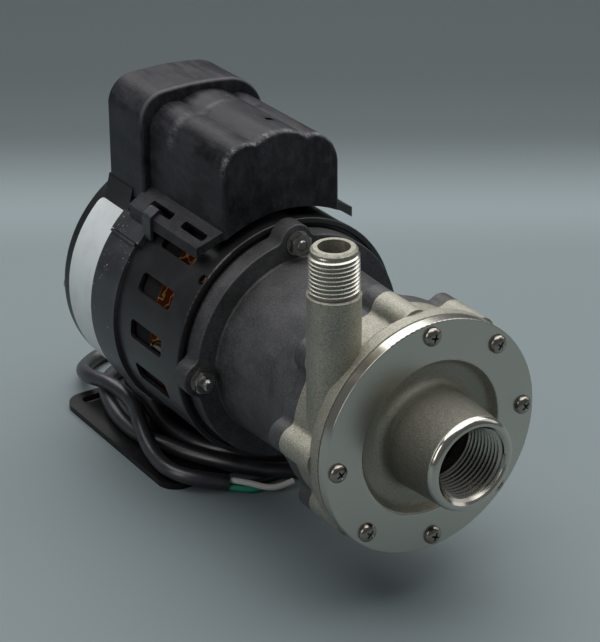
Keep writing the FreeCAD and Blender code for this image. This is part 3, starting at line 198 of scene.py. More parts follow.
def fit_piece(obj, finish, slot, *nodes, body=HOUSING):
    """Gives a finished piece its material and body, and hides the nodes that it stands for; the record slot
    is not used.
    """
    obj.data.materials.clear()
    obj.data.materials.append(finish)
    if nodes:
        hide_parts(*nodes)
    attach(obj, body)
    return obj


def round_axis(angle):
    """A turn about the pump axis, by an angle in degrees from +X towards +Z."""
    centre = Matrix.Translation((0, 0, AXIS_Z))
    return centre @ Matrix.Rotation(-math.radians(angle), 4, "Y") @ centre.inverted()


# Shader maths

class Value:
    """A shader socket that takes part in sums and products."""

    def __init__(self, finish, socket):
        self.finish = finish
        self.socket = socket

    def math(self, operation, *others):
        node = self.finish.node("ShaderNodeMath", {"operation": operation}, dict(enumerate((self, *others))))
        return Value(self.finish, node.outputs[0])

    def __add__(self, other):
        return self.math("ADD", other)

    def __sub__(self, other):
        return self.math("SUBTRACT", other)

    def __mul__(self, other):
        return self.math("MULTIPLY", other)

    def __truediv__(self, other):
        return self.math("DIVIDE", other)

    def __rsub__(self, other):
        node = self.finish.node("ShaderNodeMath", {"operation": "SUBTRACT"}, {0: other, 1: self})
        return Value(self.finish, node.outputs[0])

    def __pow__(self, other):
        return self.math("POWER", other)

    def __gt__(self, other):
        return self.math("GREATER_THAN", other)

    def __lt__(self, other):
        return self.math("LESS_THAN", other)

    __radd__ = __add__
    __rmul__ = __mul__


class Finish:
    """A material in the making, with its shader and the places on the object."""

    def __init__(self, name, color, roughness, metallic=0.0, **fixed):
        self.material = bpy.data.materials.new(name)
        self.material.use_nodes = True
        self.tree = self.material.node_tree
        self.shader = next(n for n in self.tree.nodes if n.type == "BSDF_PRINCIPLED")
        self.place = self.node("ShaderNodeTexCoord").outputs["Object"]
        self.color = (*color, 1.0)
        self.put("Base Color", self.color)
        self.put("Roughness", roughness)
        self.put("Metallic", metallic)
        for socket, value in fixed.items():
            self.put(socket.replace("_", " ").title().replace("Ior", "IOR"), value)
        self.material.diffuse_color = self.color

    def node(self, kind, settings=None, inputs=None):
        """A node of one kind: its settings are set first, then its sockets are given values or links."""
        node = self.tree.nodes.new(kind)
        for key, value in (settings or {}).items():
            setattr(node, key, value)
        for key, value in (inputs or {}).items():
            value = value.socket if isinstance(value, Value) else value
            if isinstance(value, bpy.types.NodeSocket):
                self.tree.links.new(value, node.inputs[key])
            else:
                node.inputs[key].default_value = value
        return node

    def put(self, socket, value):
        """Sets or links a socket of the shader."""
        value = value.socket if isinstance(value, Value) else value
        if isinstance(value, bpy.types.NodeSocket):
            self.tree.links.new(value, self.shader.inputs[socket])
        else:
            self.shader.inputs[socket].default_value = value

    def axes(self):
        """x, y and height above the pump axis, as values."""
        split = self.node("ShaderNodeSeparateXYZ", None, {0: self.place})
        x, y, z = (Value(self, s) for s in split.outputs)
        return x, y, z - AXIS_Z

    def radius(self):
        """Distance from the pump axis."""
        x, _, z = self.axes()
        return (x * x + z * z) ** 0.5

    def vector(self, x, y, z):
        return self.node("ShaderNodeCombineXYZ", None, {0: x, 1: y, 2: z}).outputs[0]

    def noise(self, scale, detail=2.0, rough=0.5, at_place=None, stretch=None):
        """Noise at the places on the object, or at other places, which may be stretched."""
        place = at_place or self.place
        if stretch:
            place = self.node("ShaderNodeMapping", None, {"Vector": place, "Scale": stretch}).outputs[0]
        inputs = {"Vector": place, "Scale": scale, "Detail": detail, "Roughness": rough}
        return Value(self, self.node("ShaderNodeTexNoise", None, inputs).outputs["Fac"])

    def between(self, value, low, high, to_low=0.0, to_high=1.0):
        """A smooth step of value from low to high."""
        node = self.node("ShaderNodeMapRange", {"interpolation_type": "SMOOTHSTEP"},
                         {0: value, 1: low, 2: high, 3: to_low, 4: to_high})
        return Value(self, node.outputs[0])

    def ridge(self, value, start, top_start, top_end, end):
        """1 from top_start to top_end, falling smoothly to 0 at start and end."""
        return self.between(value, start, top_start) * self.between(value, end, top_end)

    def mix(self, factor, first, second):
        """A colour between two colours."""
        pair = [(*c, 1.0) if isinstance(c, tuple) and len(c) == 3 else c for c in (first, second)]
        node = self.node("ShaderNodeMix", {"data_type": "RGBA"}, {0: factor, 6: pair[0], 7: pair[1]})
        return node.outputs[2]

    def bump(self, height, distance):
        """Ends the material with a bump, and returns it."""
        node = self.node("ShaderNodeBump", None, {"Height": height, "Distance": distance, "Strength": 1.0})
        self.put("Normal", node.outputs[0])
        return self.material


def toned(color, factor):
    """A colour made lighter or darker."""
    return tuple(min(1.0, c * factor) for c in color)


# Finishes of this pump

def cast_skin(f, colors):
    """Colour and relief of a blasted casting: slow patches, dark pits and a sandy grain."""
    patches = f.noise(45.0, 3.0, 0.6)
    pits = f.between(f.noise(620.0, 3.0, 0.7), 0.58, 0.70)
    sand = f.noise(1500.0, 4.0, 0.8)
    tone = f.mix(f.between(patches, 0.3, 0.72), toned(colors.cast, 0.82), toned(colors.cast, 1.05))
    dark, light = (f.mix(0.5, tone, toned(colors.cast, factor)) for factor in (0.45, 1.5))
    tone = f.mix(f.between(sand, 0.36, 0.64), dark, light)
    tone = f.mix(pits * 0.4, tone, toned(colors.cast, 0.42))
    relief = sand + f.noise(330.0, 2.0, 0.5) * 0.7 - pits * 0.35
    return tone, relief, patches


def machined_and_cast_cover(colors):
    """Turned rim and outside, blasted dish and boss, a polished mouth and a bore. The boss is painted darker
    and the rest of the casting lighter, as painted shade and painted light, and the bore is painted dark as
    painted shade.
    """
    f = Finish("machined_and_cast_cover", tuple(colors.machined), 0.3, 1.0)
    _, y, _ = f.axes()
    r = f.radius()
    rim = f.between(r, 0.0344, 0.0350)
    mouth = f.between(y, at(-24.6), at(-25.6))
    bore = (r < 0.0174) * (y < at(0.0))
    turned = rim.math("MAXIMUM", mouth).math("MAXIMUM", bore)
    rings = f.noise(1.0, 3.0, 0.6, f.vector(r * 5200.0, 0.0, 0.0))
    tone, relief, patches = cast_skin(f, colors)
    # Painted shade and painted light: the boss is darkened and the rest of the casting lightened
    boss = f.between(y, at(4.0), at(-2.0)) * f.between(r, 0.0262, 0.0242)
    tone = f.mix(boss, f.mix(0.25, tone, toned(colors.cast, 1.7)), f.mix(0.54, tone, (0.02, 0.02, 0.015)))
    bright = f.mix(f.between(rings, 0.3, 0.7), toned(colors.machined, 0.92), toned(colors.machined, 1.05))
    # Painted shade: the bore behind the polished mouth is painted near black
    bright = f.mix(bore * (1.0 - mouth) * 0.75, bright, (0.05, 0.045, 0.035))
    f.put("Base Color", f.mix(turned, tone, bright))
    f.put("Roughness", turned * -0.27 - mouth * 0.09 + 0.48 + patches * 0.08)
    return f.bump(rings * rim * 0.10 + relief * (1.0 - turned), 0.00026)


def blasted_casting(colors):
    """The volute's rough casting."""
    f = Finish("blasted_casting", tuple(colors.cast), 0.5, 1.0)
    tone, relief, patches = cast_skin(f, colors)
    f.put("Base Color", tone)
    f.put("Roughness", 0.46 + patches * 0.12)
    return f.bump(relief, 0.00026)


def cut_thread(colors):
    """Bright freshly cut thread flanks."""
    f = Finish("cut_thread", toned(colors.machined, 0.84), 0.26, 1.0)
    marks = f.noise(900.0, 2.0, 0.5, stretch=(1.0, 6.0, 6.0))
    f.put("Roughness", 0.2 + marks * 0.14)
    return f.bump(marks, 0.00002)


def bright_fastener(name, color, roughness=0.3):
    """Bright metal with faint smudges."""
    f = Finish(name, color, roughness, 1.0)
    smudge = f.noise(420.0, 3.0, 0.6)
    f.put("Base Color", f.mix(smudge, toned(color, 0.82), toned(color, 1.1)))
    f.put("Roughness", roughness - 0.06 + smudge * 0.16)
    return f.bump(smudge, 0.00002)


def moulded_plastic(name, color, pale, roughness, grain_size, grain_depth, cloud=30.0, **fixed):
    """Dark moulding with a fine grain and faint cloudy marks left by handling and by the mould."""
    f = Finish(name, color, roughness, **fixed)
    clouds = f.noise(cloud, 4.0, 0.62)
    fine = f.noise(grain_size, 3.0, 0.6)
    scuffs = f.between(f.noise(160.0, 5.0, 0.75), 0.56, 0.72)
    f.put("Base Color", f.mix(f.between(clouds, 0.34, 0.7) * 0.75 + scuffs * 0.25, color, pale))
    f.put("Roughness", roughness - 0.05 + clouds * 0.12 + scuffs * 0.08)
    return f.bump(fine, grain_depth)


def cover_plastic(colors):
    """Dark moulding with streaky marks, a low step across its lobes and a vent slot. Its front top edge is
    pale with rubbing wear and a painted highlight, and a band across the lobes and a line on the rear block's
    front edge are painted highlights.
    """
    f = Finish("cover_plastic", tuple(colors.cover), 0.44, specular_ior_level=0.22)
    x, y, z = f.axes()
    clouds = f.between(f.noise(26.0, 4.0, 0.62), 0.36, 0.68)
    streaks = f.between(f.noise(75.0, 6.0, 0.75, stretch=(3.4, 0.6, 1.6)), 0.42, 0.64)
    scratches = f.between(f.noise(300.0, 5.0, 0.8, stretch=(0.5, 3.0, 0.5)), 0.50, 0.66)
    marks = clouds * 0.35 + streaks * 0.35 + scratches * 0.3
    # Pale marks: the front top edge is rubbing wear with a painted highlight; the rear block's front edge and
    # a band across the lobes are painted highlights
    front = f.ridge(y, at(112.6), at(113.0), at(114.2), at(117.4)) * f.between(z, 0.079, 0.090)
    back = f.ridge(y, at(176.05), at(176.4), at(177.2), at(178.6)) * f.between(z, 0.084, 0.092)
    crease = f.ridge(y, at(152.5), at(157.5), at(158.5), at(162.0)) * f.between(x, 0.006, -0.004)
    wear_and_highlight_breakup = f.between(f.noise(330.0, 6.0, 0.85, stretch=(1.0, 0.3, 1.0)), 0.42, 0.64)
    pale_wear_and_highlight = (front * 0.75 + crease * f.between(z, 0.078, 0.086) * 0.35) * wear_and_highlight_breakup + back * 0.22
    across = (x > SLOT_X[0]) * (x < SLOT_X[1])
    slot = across * (y > at(SLOT_STATIONS[0])) * (y < at(SLOT_STATIONS[1])) * (z > 0.06)
    plain = f.mix(marks, toned(colors.cover, 0.5), toned(colors.cover, 4.4))
    plain = f.mix(pale_wear_and_highlight.math("MINIMUM", 1.0) * 0.8, plain, (0.25, 0.25, 0.255))
    f.put("Base Color", plain)
    f.put("Alpha", 1.0 - slot)
    f.put("Roughness", 0.38 + marks * 0.16)
    skin = f.noise(1300.0, 3.0, 0.6) * 0.00007 + streaks * 0.00003
    waver = f.noise(60.0, 3.0, 0.6) * 0.008
    step = f.between(y + waver, at(163.0), at(157.0)) * f.between(z, 0.066, 0.074) * 0.0004
    return f.bump(skin + step, 1.0)


def bracket_plastic(colors):
    """Matt moulding, clouded by dust and rubbing."""
    f = Finish("bracket_plastic", tuple(colors.bracket), 0.5)
    clouds = f.between(f.noise(34.0, 5.0, 0.7), 0.38, 0.66)
    rubs = f.between(f.noise(120.0, 5.0, 0.75, stretch=(1.0, 0.5, 1.0)), 0.48, 0.68)
    specks = f.between(f.noise(800.0, 2.0, 0.6), 0.66, 0.74)
    tone = f.mix(clouds * 0.6 + rubs * 0.4, toned(colors.bracket, 0.8), toned(colors.bracket, 4.5))
    sand = f.between(f.noise(1300.0, 4.0, 0.8), 0.36, 0.64)
    dark, light = f.mix(0.5, tone, toned(colors.bracket, 0.2)), f.mix(0.4, tone, toned(colors.bracket, 4.6))
    tone = f.mix(sand, dark, light)
    f.put("Base Color", f.mix(specks * 0.5, tone, toned(colors.bracket, 6.0)))
    f.put("Roughness", 0.44 + clouds * 0.10 + rubs * 0.06)
    return f.bump(f.noise(1200.0, 3.0, 0.65) + clouds * 0.4, 0.00016)


def strap_plastic(colors):
    """Smooth dark moulding with a few pale specks of dust."""
    f = Finish("strap_plastic", tuple(colors.strap), 0.36)
    clouds = f.between(f.noise(50.0, 4.0, 0.62), 0.34, 0.7)
    dust = f.between(f.noise(900.0, 1.0, 0.5), 0.69, 0.74) * f.between(f.noise(60.0, 2.0, 0.5), 0.46, 0.58)
    tone = f.mix(clouds, tuple(colors.strap), toned(colors.strap, 1.9))
    f.put("Base Color", f.mix(dust, tone, (0.50, 0.50, 0.48)))
    f.put("Roughness", 0.34 + clouds * 0.10)
    return f.bump(f.noise(1300.0, 3.0, 0.6), 0.00003)


def shell_enamel(colors):
    """Semi-gloss black enamel on drawn steel, uneven and dusty, with painted shade under the cover's rear
    half: the top strip there and its joint line are painted black and dull.
    """
    f = Finish("shell_enamel", tuple(colors.enamel), 0.34)
    peel = f.noise(700.0, 2.0, 0.5)
    dust = f.between(f.noise(38.0, 4.0, 0.65), 0.42, 0.75)
    _, y, z = f.axes()
    # Painted shade: the shell's top under the cover's rear half, with its joint line, is painted black
    seam_and_painted_shade = (z > 0.0541) * (y > at(185.0))
    paint = f.mix(dust, tuple(colors.enamel), toned(colors.enamel, 2.0))
    f.put("Base Color", f.mix(seam_and_painted_shade, paint, (0.0005, 0.0005, 0.0005)))
    f.put("Roughness", 0.3 + dust * 0.12 + seam_and_painted_shade * 0.5)
    return f.bump(peel, 0.00002)


def laminated_steel():
    """Edges of thin sheets, stacked along the pump, and end faces soaked in amber varnish."""
    # The sheet edges are near black, darker than bare steel: painted shade for the inside of the motor seen
    # through the windows
    f = Finish("laminated_steel", (0.012, 0.012, 0.012), 0.8, specular_ior_level=0.1)
    _, y, _ = f.axes()
    sheets = f.noise(1.0, 1.0, 0.5, f.vector(0.0, y * 2600.0, 0.0))
    stack_in_painted_shade = f.mix(f.between(sheets, 0.35, 0.65), (0.006, 0.006, 0.006), (0.022, 0.021, 0.020))
    wander = f.noise(130.0, 2.0, 0.55)
    strands = f.ridge(wander, 0.44, 0.475, 0.495, 0.53)
    varnish = f.mix(strands, (0.20, 0.050, 0.012), (0.80, 0.58, 0.24))
    f.put("Base Color", f.mix((y < at(CORE_START)) + (y > at(CORE_END)), stack_in_painted_shade, varnish))
    return f.bump(sheets, 0.0001)


def enamelled_wire():
    """Copper wire under clear orange-brown enamel and varnish."""
    f = Finish("enamelled_wire", (0.50, 0.17, 0.035), 0.34, 0.1, coat_weight=0.4, coat_roughness=0.15)
    shade = f.noise(180.0, 3.0, 0.6)
    f.put("Base Color", f.mix(shade, (0.50, 0.16, 0.03), (0.95, 0.45, 0.12)))
    return f.bump(f.noise(900.0), 0.00005)


def lacing_cord():
    """Pale woven cord soaked in varnish."""
    f = Finish("lacing_cord", (0.72, 0.64, 0.47), 0.75)
    weave = f.noise(2400.0, 2.0, 0.5)
    f.put("Base Color", f.mix(weave, (0.58, 0.50, 0.35), (0.80, 0.74, 0.58)))
    return f.bump(weave, 0.00012)


def plate_card(colors):
    """Bare white film plate with a faint sheen and slight soiling."""
    f = Finish("plate_card", tuple(colors.plate), 0.42)
    soil = f.noise(90.0, 4.0, 0.6)
    f.put("Base Color", f.mix(f.between(soil, 0.45, 0.8), tuple(colors.plate), toned(colors.plate, 0.88)))
    f.put("Roughness", 0.36 + soil * 0.12)
    return f.bump(f.noise(1500.0), 0.00001)


def cord_rubber(colors):
    """Smooth flexible jacket with a soft shine and faint scuffs."""
    f = Finish("cord_rubber", tuple(colors.jacket), 0.28, specular_ior_level=0.85)
    scuff = f.noise(140.0, 4.0, 0.7)
    f.put("Base Color", f.mix(f.between(scuff, 0.4, 0.75), tuple(colors.jacket), toned(colors.jacket, 1.9)))
    f.put("Roughness", 0.28 + scuff * 0.16)
    return f.bump(f.noise(1100.0, 2.0, 0.5), 0.00003)


def soft_plastic(name, color, roughness=0.4):
    """Plain plastic or ceramic with slight wear."""
    f = Finish(name, color, roughness)
    wear = f.noise(300.0, 3.0, 0.6)
    f.put("Base Color", f.mix(wear, toned(color, 0.86), toned(color, 1.06)))
    f.put("Roughness", roughness - 0.05 + wear * 0.12)
    return f.bump(wear, 0.00002)


class PumpSizes(bpy.types.PropertyGroup):
    """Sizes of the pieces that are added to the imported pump."""

    inlet_root: FloatProperty(name="Inlet Thread Root Radius", default=0.0165, min=0.005, unit="LENGTH",
                              description="Radius of the inlet bore that the thread stands on")
    inlet_depth: FloatProperty(name="Inlet Thread Height", default=0.00125, min=0.0002, unit="LENGTH",
                               description="Height of the inlet thread's ridges")
    inlet_pitch: FloatProperty(name="Inlet Thread Pitch", default=0.00221, min=0.0005, unit="LENGTH",
                               description="Distance between two ridges of the inlet thread")
    inlet_turns: IntProperty(name="Inlet Thread Turns", default=11, min=1,
                             description="Number of turns in the inlet")
    outlet_root: FloatProperty(name="Outlet Thread Root Radius", default=0.0096, min=0.003, unit="LENGTH",
                               description="Radius of the outlet's core that the thread stands on")
    outlet_depth: FloatProperty(name="Outlet Thread Height", default=0.00105, min=0.0002, unit="LENGTH",
                                description="Height of the outlet thread's ridges")
    outlet_pitch: FloatProperty(name="Outlet Thread Pitch", default=0.001814, min=0.0005, unit="LENGTH",
                                description="Distance between two ridges of the outlet thread")
    outlet_turns: IntProperty(name="Outlet Thread Turns", default=10, min=1,
                              description="Number of turns on the outlet")
    screw_head: FloatProperty(name="Screw Head Radius", description="Radius of a cover screw's head",
                              default=0.0041, min=0.002, unit="LENGTH")
    screw_height: FloatProperty(name="Screw Head Height", description="Height of a cover screw's head",
                                default=0.0026, min=0.001, unit="LENGTH")
    cord_width: FloatProperty(name="Cord Diameter", description="Diameter of the supply cord's jacket",
                              default=0.0075, min=0.002, unit="LENGTH")
    wire_width: FloatProperty(name="Conductor Diameter", description="Diameter of a conductor over its cover",
                              default=0.0029, min=0.0005, unit="LENGTH")


class PumpColors(bpy.types.PropertyGroup):
    """Colours of the pump's finishes."""

    machined: FloatVectorProperty(name="Machined Steel", description="Colour of the turned stainless faces",
                                  subtype="COLOR", size=3, min=0, max=1, default=(0.57, 0.55, 0.49))
    cast: FloatVectorProperty(name="Cast Steel", description="Colour of the blasted stainless casting",
                              subtype="COLOR", size=3, min=0, max=1, default=(0.40, 0.386, 0.325))
    bracket: FloatVectorProperty(name="Bracket Plastic", description="Colour of the moulded bracket",
                                 subtype="COLOR", size=3, min=0, max=1, default=(0.020, 0.020, 0.021))
    cover: FloatVectorProperty(name="Cover Plastic", description="Colour of the moulded top cover",
                               subtype="COLOR", size=3, min=0, max=1, default=(0.012, 0.012, 0.014))
    enamel: FloatVectorProperty(name="Motor Enamel", description="Colour of the motor's painted shells",
                                subtype="COLOR", size=3, min=0, max=1, default=(0.012, 0.012, 0.013))
    strap: FloatVectorProperty(name="Strap Plastic", description="Colour of the strap round the motor",
                               subtype="COLOR", size=3, min=0, max=1, default=(0.026, 0.028, 0.031))
    jacket: FloatVectorProperty(name="Cord Jacket", description="Colour of the supply cord",
                                subtype="COLOR", size=3, min=0, max=1, default=(0.018, 0.018, 0.021))
    plate: FloatVectorProperty(name="Rating Plate", description="Colour of the bare plate on the motor",
                               subtype="COLOR", size=3, min=0, max=1, default=(0.66, 0.70, 0.70))
    floor: FloatVectorProperty(name="Floor", description="Colour of the floor",
                               subtype="COLOR", size=3, min=0, max=1, default=(0.179, 0.215, 0.224))


def sizes():
    """The sizes set in the panel."""
    return bpy.context.scene.pump_sizes


def palette():
    """The colours set in the panel."""
    return bpy.context.scene.pump_colors


# Threads

# The foot as a share of the pitch, and the crest as a share of the foot
RIDGE_FOOT, RIDGE_CREST = 0.94, 0.16
# Turns in which a ridge fades in and out, and how far in its fade it starts
RIDGE_FADE_IN, RIDGE_FADE_OUT, RIDGE_START = 0.7, 1.2, 0.2


def thread_ridge(name, root, crest, pitch, turns, steps=64, taper=0.0):
    """A helical ridge about the Z axis, upwards from z 0, with its foot at root, that fades at both ends."""
    deselect()
    bpy.ops.mesh.primitive_plane_add(size=1.0)
    ridge = named(name)
    only(ridge)
    bpy.ops.object.mode_set(mode="EDIT")
    bpy.ops.mesh.select_all(action="SELECT")
    bpy.ops.mesh.delete(type="ONLY_FACE")
    bpy.ops.object.mode_set(mode="OBJECT")
    ridge.scale = (abs(crest - root), pitch * RIDGE_FOOT, 1.0)
    ridge.rotation_euler = (math.pi / 2, 0, 0)
    ridge.location = ((root + crest) / 2, 0, 0)
    settle(ridge)
    pick(ridge, "VERT", lambda co, _: abs(co.x - crest) < 1e-6)
    bpy.ops.transform.resize(value=(1, 1, RIDGE_CREST))
    bpy.ops.object.mode_set(mode="OBJECT")
    modify(ridge, "SCREW", axis="Z", angle=2 * math.pi, screw_offset=pitch, iterations=turns, steps=steps,
           render_steps=steps, use_merge_vertices=False)
    only(ridge)
    bpy.ops.object.mode_set(mode="EDIT")
    bpy.ops.mesh.select_mode(type="EDGE")
    bpy.ops.mesh.select_all(action="DESELECT")
    bpy.ops.mesh.select_non_manifold()
    bpy.ops.mesh.fill()
    bpy.ops.object.mode_set(mode="OBJECT")
    length = pitch * turns
    for v in ridge.data.vertices:
        flat = Vector((v.co.x, v.co.y))
        run = max(0.0, min(1.0, v.co.z / length))
        fade = min(1.0, (1.0 - run) * turns / RIDGE_FADE_OUT, (run * turns + RIDGE_START) / RIDGE_FADE_IN)
        radius = root + (flat.length - root) * fade - taper * v.co.z
        v.co.x, v.co.y = flat.normalized() * radius
    return smooth(outward(ridge), 30.0)


class PUMP_OT_inlet_thread(bpy.types.Operator):
    """Cuts the look of a pipe thread into the inlet bore"""
    bl_idname = "pump.inlet_thread"
    bl_label = "Inlet Thread"

    def execute(self, context):
        s = sizes()
        ridge = thread_ridge("inlet_thread", s.inlet_root + SINK, s.inlet_root - s.inlet_depth,
                             s.inlet_pitch, s.inlet_turns, steps=72)
        ridge.rotation_euler = (-math.pi / 2, 0, 0)
        ridge.location = (0, at(INLET_THREAD_STATION), AXIS_Z)
        settle(ridge)
        fit_piece(ridge, cut_thread(palette()), "machined_steel")
        return {"FINISHED"}


class PUMP_OT_outlet_thread(bpy.types.Operator):
    """Cuts the look of a pipe thread round the outlet pipe"""
    bl_idname = "pump.outlet_thread"
    bl_label = "Outlet Thread"

    def execute(self, context):
        s = sizes()
        _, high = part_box("volute_housing")
        length = s.outlet_pitch * s.outlet_turns
        ridge = thread_ridge("outlet_thread", s.outlet_root - SINK, s.outlet_root + s.outlet_depth,
                             s.outlet_pitch, s.outlet_turns, taper=OUTLET_TAPER)
        ridge.location = (OUTLET_X, at(OUTLET_STATION), high[2] - length - OUTLET_LEAD)
        settle(ridge)
        fit_piece(ridge, cut_thread(palette()), "cast_steel")
        return {"FINISHED"}


class PUMP_OT_bolt_threads(bpy.types.Operator):
    """Adds thread ridges to the through bolts whose front ends can be seen"""
    bl_idname = "pump.bolt_threads"
    bl_label = "Bolt Threads"

    def execute(self, context):
        low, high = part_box("through_bolts")
        nuts_low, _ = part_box("bracket_nuts")
        turns = max(2, int((nuts_low[1] - low[1]) / BOLT_PITCH) - 1)
        ridges = []
        for i in BOLTS_SEEN:
            ridge = thread_ridge(f"bolt_thread_{i}", BOLT_ROOT, BOLT_CREST, BOLT_PITCH, turns, steps=24)
            ridge.rotation_euler = (-math.pi / 2, 0, 0)
            ridge.location = (BOLT_CIRCLE, low[1] + BOLT_LEAD, AXIS_Z)
            settle(ridge)
            ridge.data.transform(round_axis(BOLT_TURN + 90.0 * i))
            ridges.append(ridge)
        finish = bright_fastener("bolt_steel", (0.27, 0.27, 0.255), 0.28)
        fit_piece(merged(ridges, "bolt_threads"), finish, "zinc_steel")
        return {"FINISHED"}


# Cover screws

# Steps of a head's dome: each an inset as a share of the radius and a rise as a share of the height
HEAD_DOME = ((0.10, 0.15), (0.14, 0.11), (0.22, 0.08), (0.3, 0.03))
# The straight rim as a share of the height, and the step in to the shank as a share of the radius
HEAD_RIM, SHANK_INSET = 0.34, 0.5
# The cross recess, as shares of the radius and of the height
RECESS_REACH, RECESS_DEPTH = 0.62, 0.75
# Turn of the screw in the first place, and from each place to the next, in radians
FIRST_TWIST, NEXT_TWIST = 0.61, 1.93


def cross_cutter(reach, depth):
    """Four-armed tapering cutter for a screw's recess, pointing down from z 0."""
    arms = []
    for turn in (0, math.pi / 2):
        deselect()
        bpy.ops.mesh.primitive_cube_add(size=1.0, location=(0, 0, -depth * 0.25))
        arm = named("recess_arm")
        arm.scale = (reach * 2, reach * 0.42, depth * 1.5)
        arm.rotation_euler = (0, 0, turn)
        settle(arm)
        pick(arm, "VERT", lambda co, _: co.z < -depth * 0.9)
        bpy.ops.transform.resize(value=(0.42, 0.42, 1.0))
        bpy.ops.object.mode_set(mode="OBJECT")
        arms.append(arm)
    return arms


class PUMP_OT_cover_screws(bpy.types.Operator):
    """Models the pan-head screws with their cross recesses"""
    bl_idname = "pump.cover_screws"
    bl_label = "Cover Screws"

    def execute(self, context):
        s = sizes()
        _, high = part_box("cover_screws")
        radius, height = s.screw_head, s.screw_height
        shank = high[1] - at(0.0)
        deselect()
        bpy.ops.mesh.primitive_cylinder_add(vertices=40, radius=radius, depth=height,
                                            location=(0, 0, height / 2))
        head = settle(named("screw_head"))
        pick(head, "FACE", lambda co, n: n.z > 0.9)
        for inset, rise in HEAD_DOME:
            bpy.ops.mesh.inset(thickness=radius * inset, depth=0)
            bpy.ops.transform.translate(value=(0, 0, height * rise))
        bpy.ops.object.mode_set(mode="OBJECT")
        top = max(v.co.z for v in head.data.vertices)
        rim = height * HEAD_RIM
        for v in head.data.vertices:
            if v.co.z > height * 0.9:
                v.co.z = rim + (v.co.z - height) * (height - rim) / max(1e-9, top - height)
        pick(head, "FACE", lambda co, n: n.z < -0.9)
        bpy.ops.mesh.inset(thickness=radius * SHANK_INSET, depth=0)
        bpy.ops.mesh.extrude_region_move(TRANSFORM_OT_translate={"value": (0, 0, -shank)})
        bpy.ops.object.mode_set(mode="OBJECT")
        for cutter in cross_cutter(radius * RECESS_REACH, height * RECESS_DEPTH):
            cutter.data.transform(Matrix.Translation((0, 0, height)))
            modify(head, "BOOLEAN", object=cutter, operation="DIFFERENCE")
            discard(cutter)
        to_front = Matrix.Translation((0, at(0.0), AXIS_Z)) @ Matrix.Rotation(math.pi / 2, 4, "X")
        screws = []
        for i in range(SCREW_PLACES):
            if i == EMPTY_PLACE:
                continue
            angle = math.radians(SCREW_TURN + 360.0 / SCREW_PLACES * i)
            place = Matrix.Translation((SCREW_CIRCLE * math.cos(angle), 0, SCREW_CIRCLE * math.sin(angle)))
            twist = Matrix.Rotation(FIRST_TWIST + NEXT_TWIST * i, 4, "Z")
            screws.append(copy_of(head, f"screw_{i}", place @ to_front @ twist))
        discard(head)
        piece = smooth(merged(screws, "cover_screw_heads"), 32.0)
        finish = bright_fastener("screw_steel", (0.33, 0.305, 0.265), 0.2)
        fit_piece(piece, finish, "screw_steel", "cover_screws")
        return {"FINISHED"}


# Windings seen through the windows

def ring_of_wire(name, radius, station, thickness, wobble):
    """One turn of wire round the pump axis, slightly out of round."""
    deselect()
    bpy.ops.mesh.primitive_torus_add(major_radius=radius, minor_radius=thickness, major_segments=96,
                                     minor_segments=7)
    wire = named(name)
    wire.rotation_euler = (math.pi / 2, 0, 0)
    wire.location = (0, at(station), AXIS_Z)
    settle(wire)
    for v in wire.data.vertices:
        angle = math.atan2(v.co.z - AXIS_Z, v.co.x)
        swell = 1.0 + 0.012 * math.sin(6 * angle + wobble) + 0.006 * math.sin(17 * angle + 2.3 * wobble)
        v.co.x *= swell
        v.co.z = AXIS_Z + (v.co.z - AXIS_Z) * swell
        v.co.y += 0.0008 * math.sin(12 * angle + 1.7 * wobble)
    return wire


class PUMP_OT_windings(bpy.types.Operator):
    """Winds the wire bundles at both ends of the stator and laces the front one"""
    bl_idname = "pump.windings"
    bl_label = "Windings"

    def execute(self, context):
        wire_finish = enamelled_wire()
        for node, (near, far) in (("front_windings", FRONT_WINDING), ("rear_windings", REAR_WINDING)):
            wires = []
            middle = (near + far) / 2
            for i in range(WINDING_WIRES):
                turn = 2 * math.pi * i / WINDING_WIRES
                along, out = (math.copysign(abs(v) ** 0.55, v) for v in (math.cos(turn), math.sin(turn)))
                station = middle + (far - near) / 2 * along
                radius = WINDING_RADIUS + WINDING_REACH * out
                wires.append(ring_of_wire(f"{node}_{i}", radius, station, WIRE_RADIUS, 1.37 * i))
            core = ring_of_wire(f"{node}_core", WINDING_RADIUS, middle, FILLING_RADIUS, 0.4)
            bundle = smooth(merged(wires + [core], node.replace("windings", "wire_bundle")), 60.0)
            fit_piece(bundle, wire_finish, "winding_copper", node)
        deselect()
        bpy.ops.mesh.primitive_torus_add(major_radius=LACING_REACH, minor_radius=LACING_RADIUS,
                                         major_segments=40, minor_segments=8)
        loop = named("lacing_loop")
        loop.scale = (1.02, 0.98, 1.0)
        loop.location = (WINDING_RADIUS, at(LACING_STATION), AXIS_Z)
        settle(loop)
        pitch = 360.0 / LACING_LOOPS
        loops = [copy_of(loop, f"lace_{i}", round_axis(pitch * i + 3.0)) for i in range(LACING_LOOPS)]
        discard(loop)
        fit_piece(smooth(merged(loops, "winding_lacing"), 60.0), lacing_cord(), "winding_copper")
        return {"FINISHED"}


# Bare plate on the motor

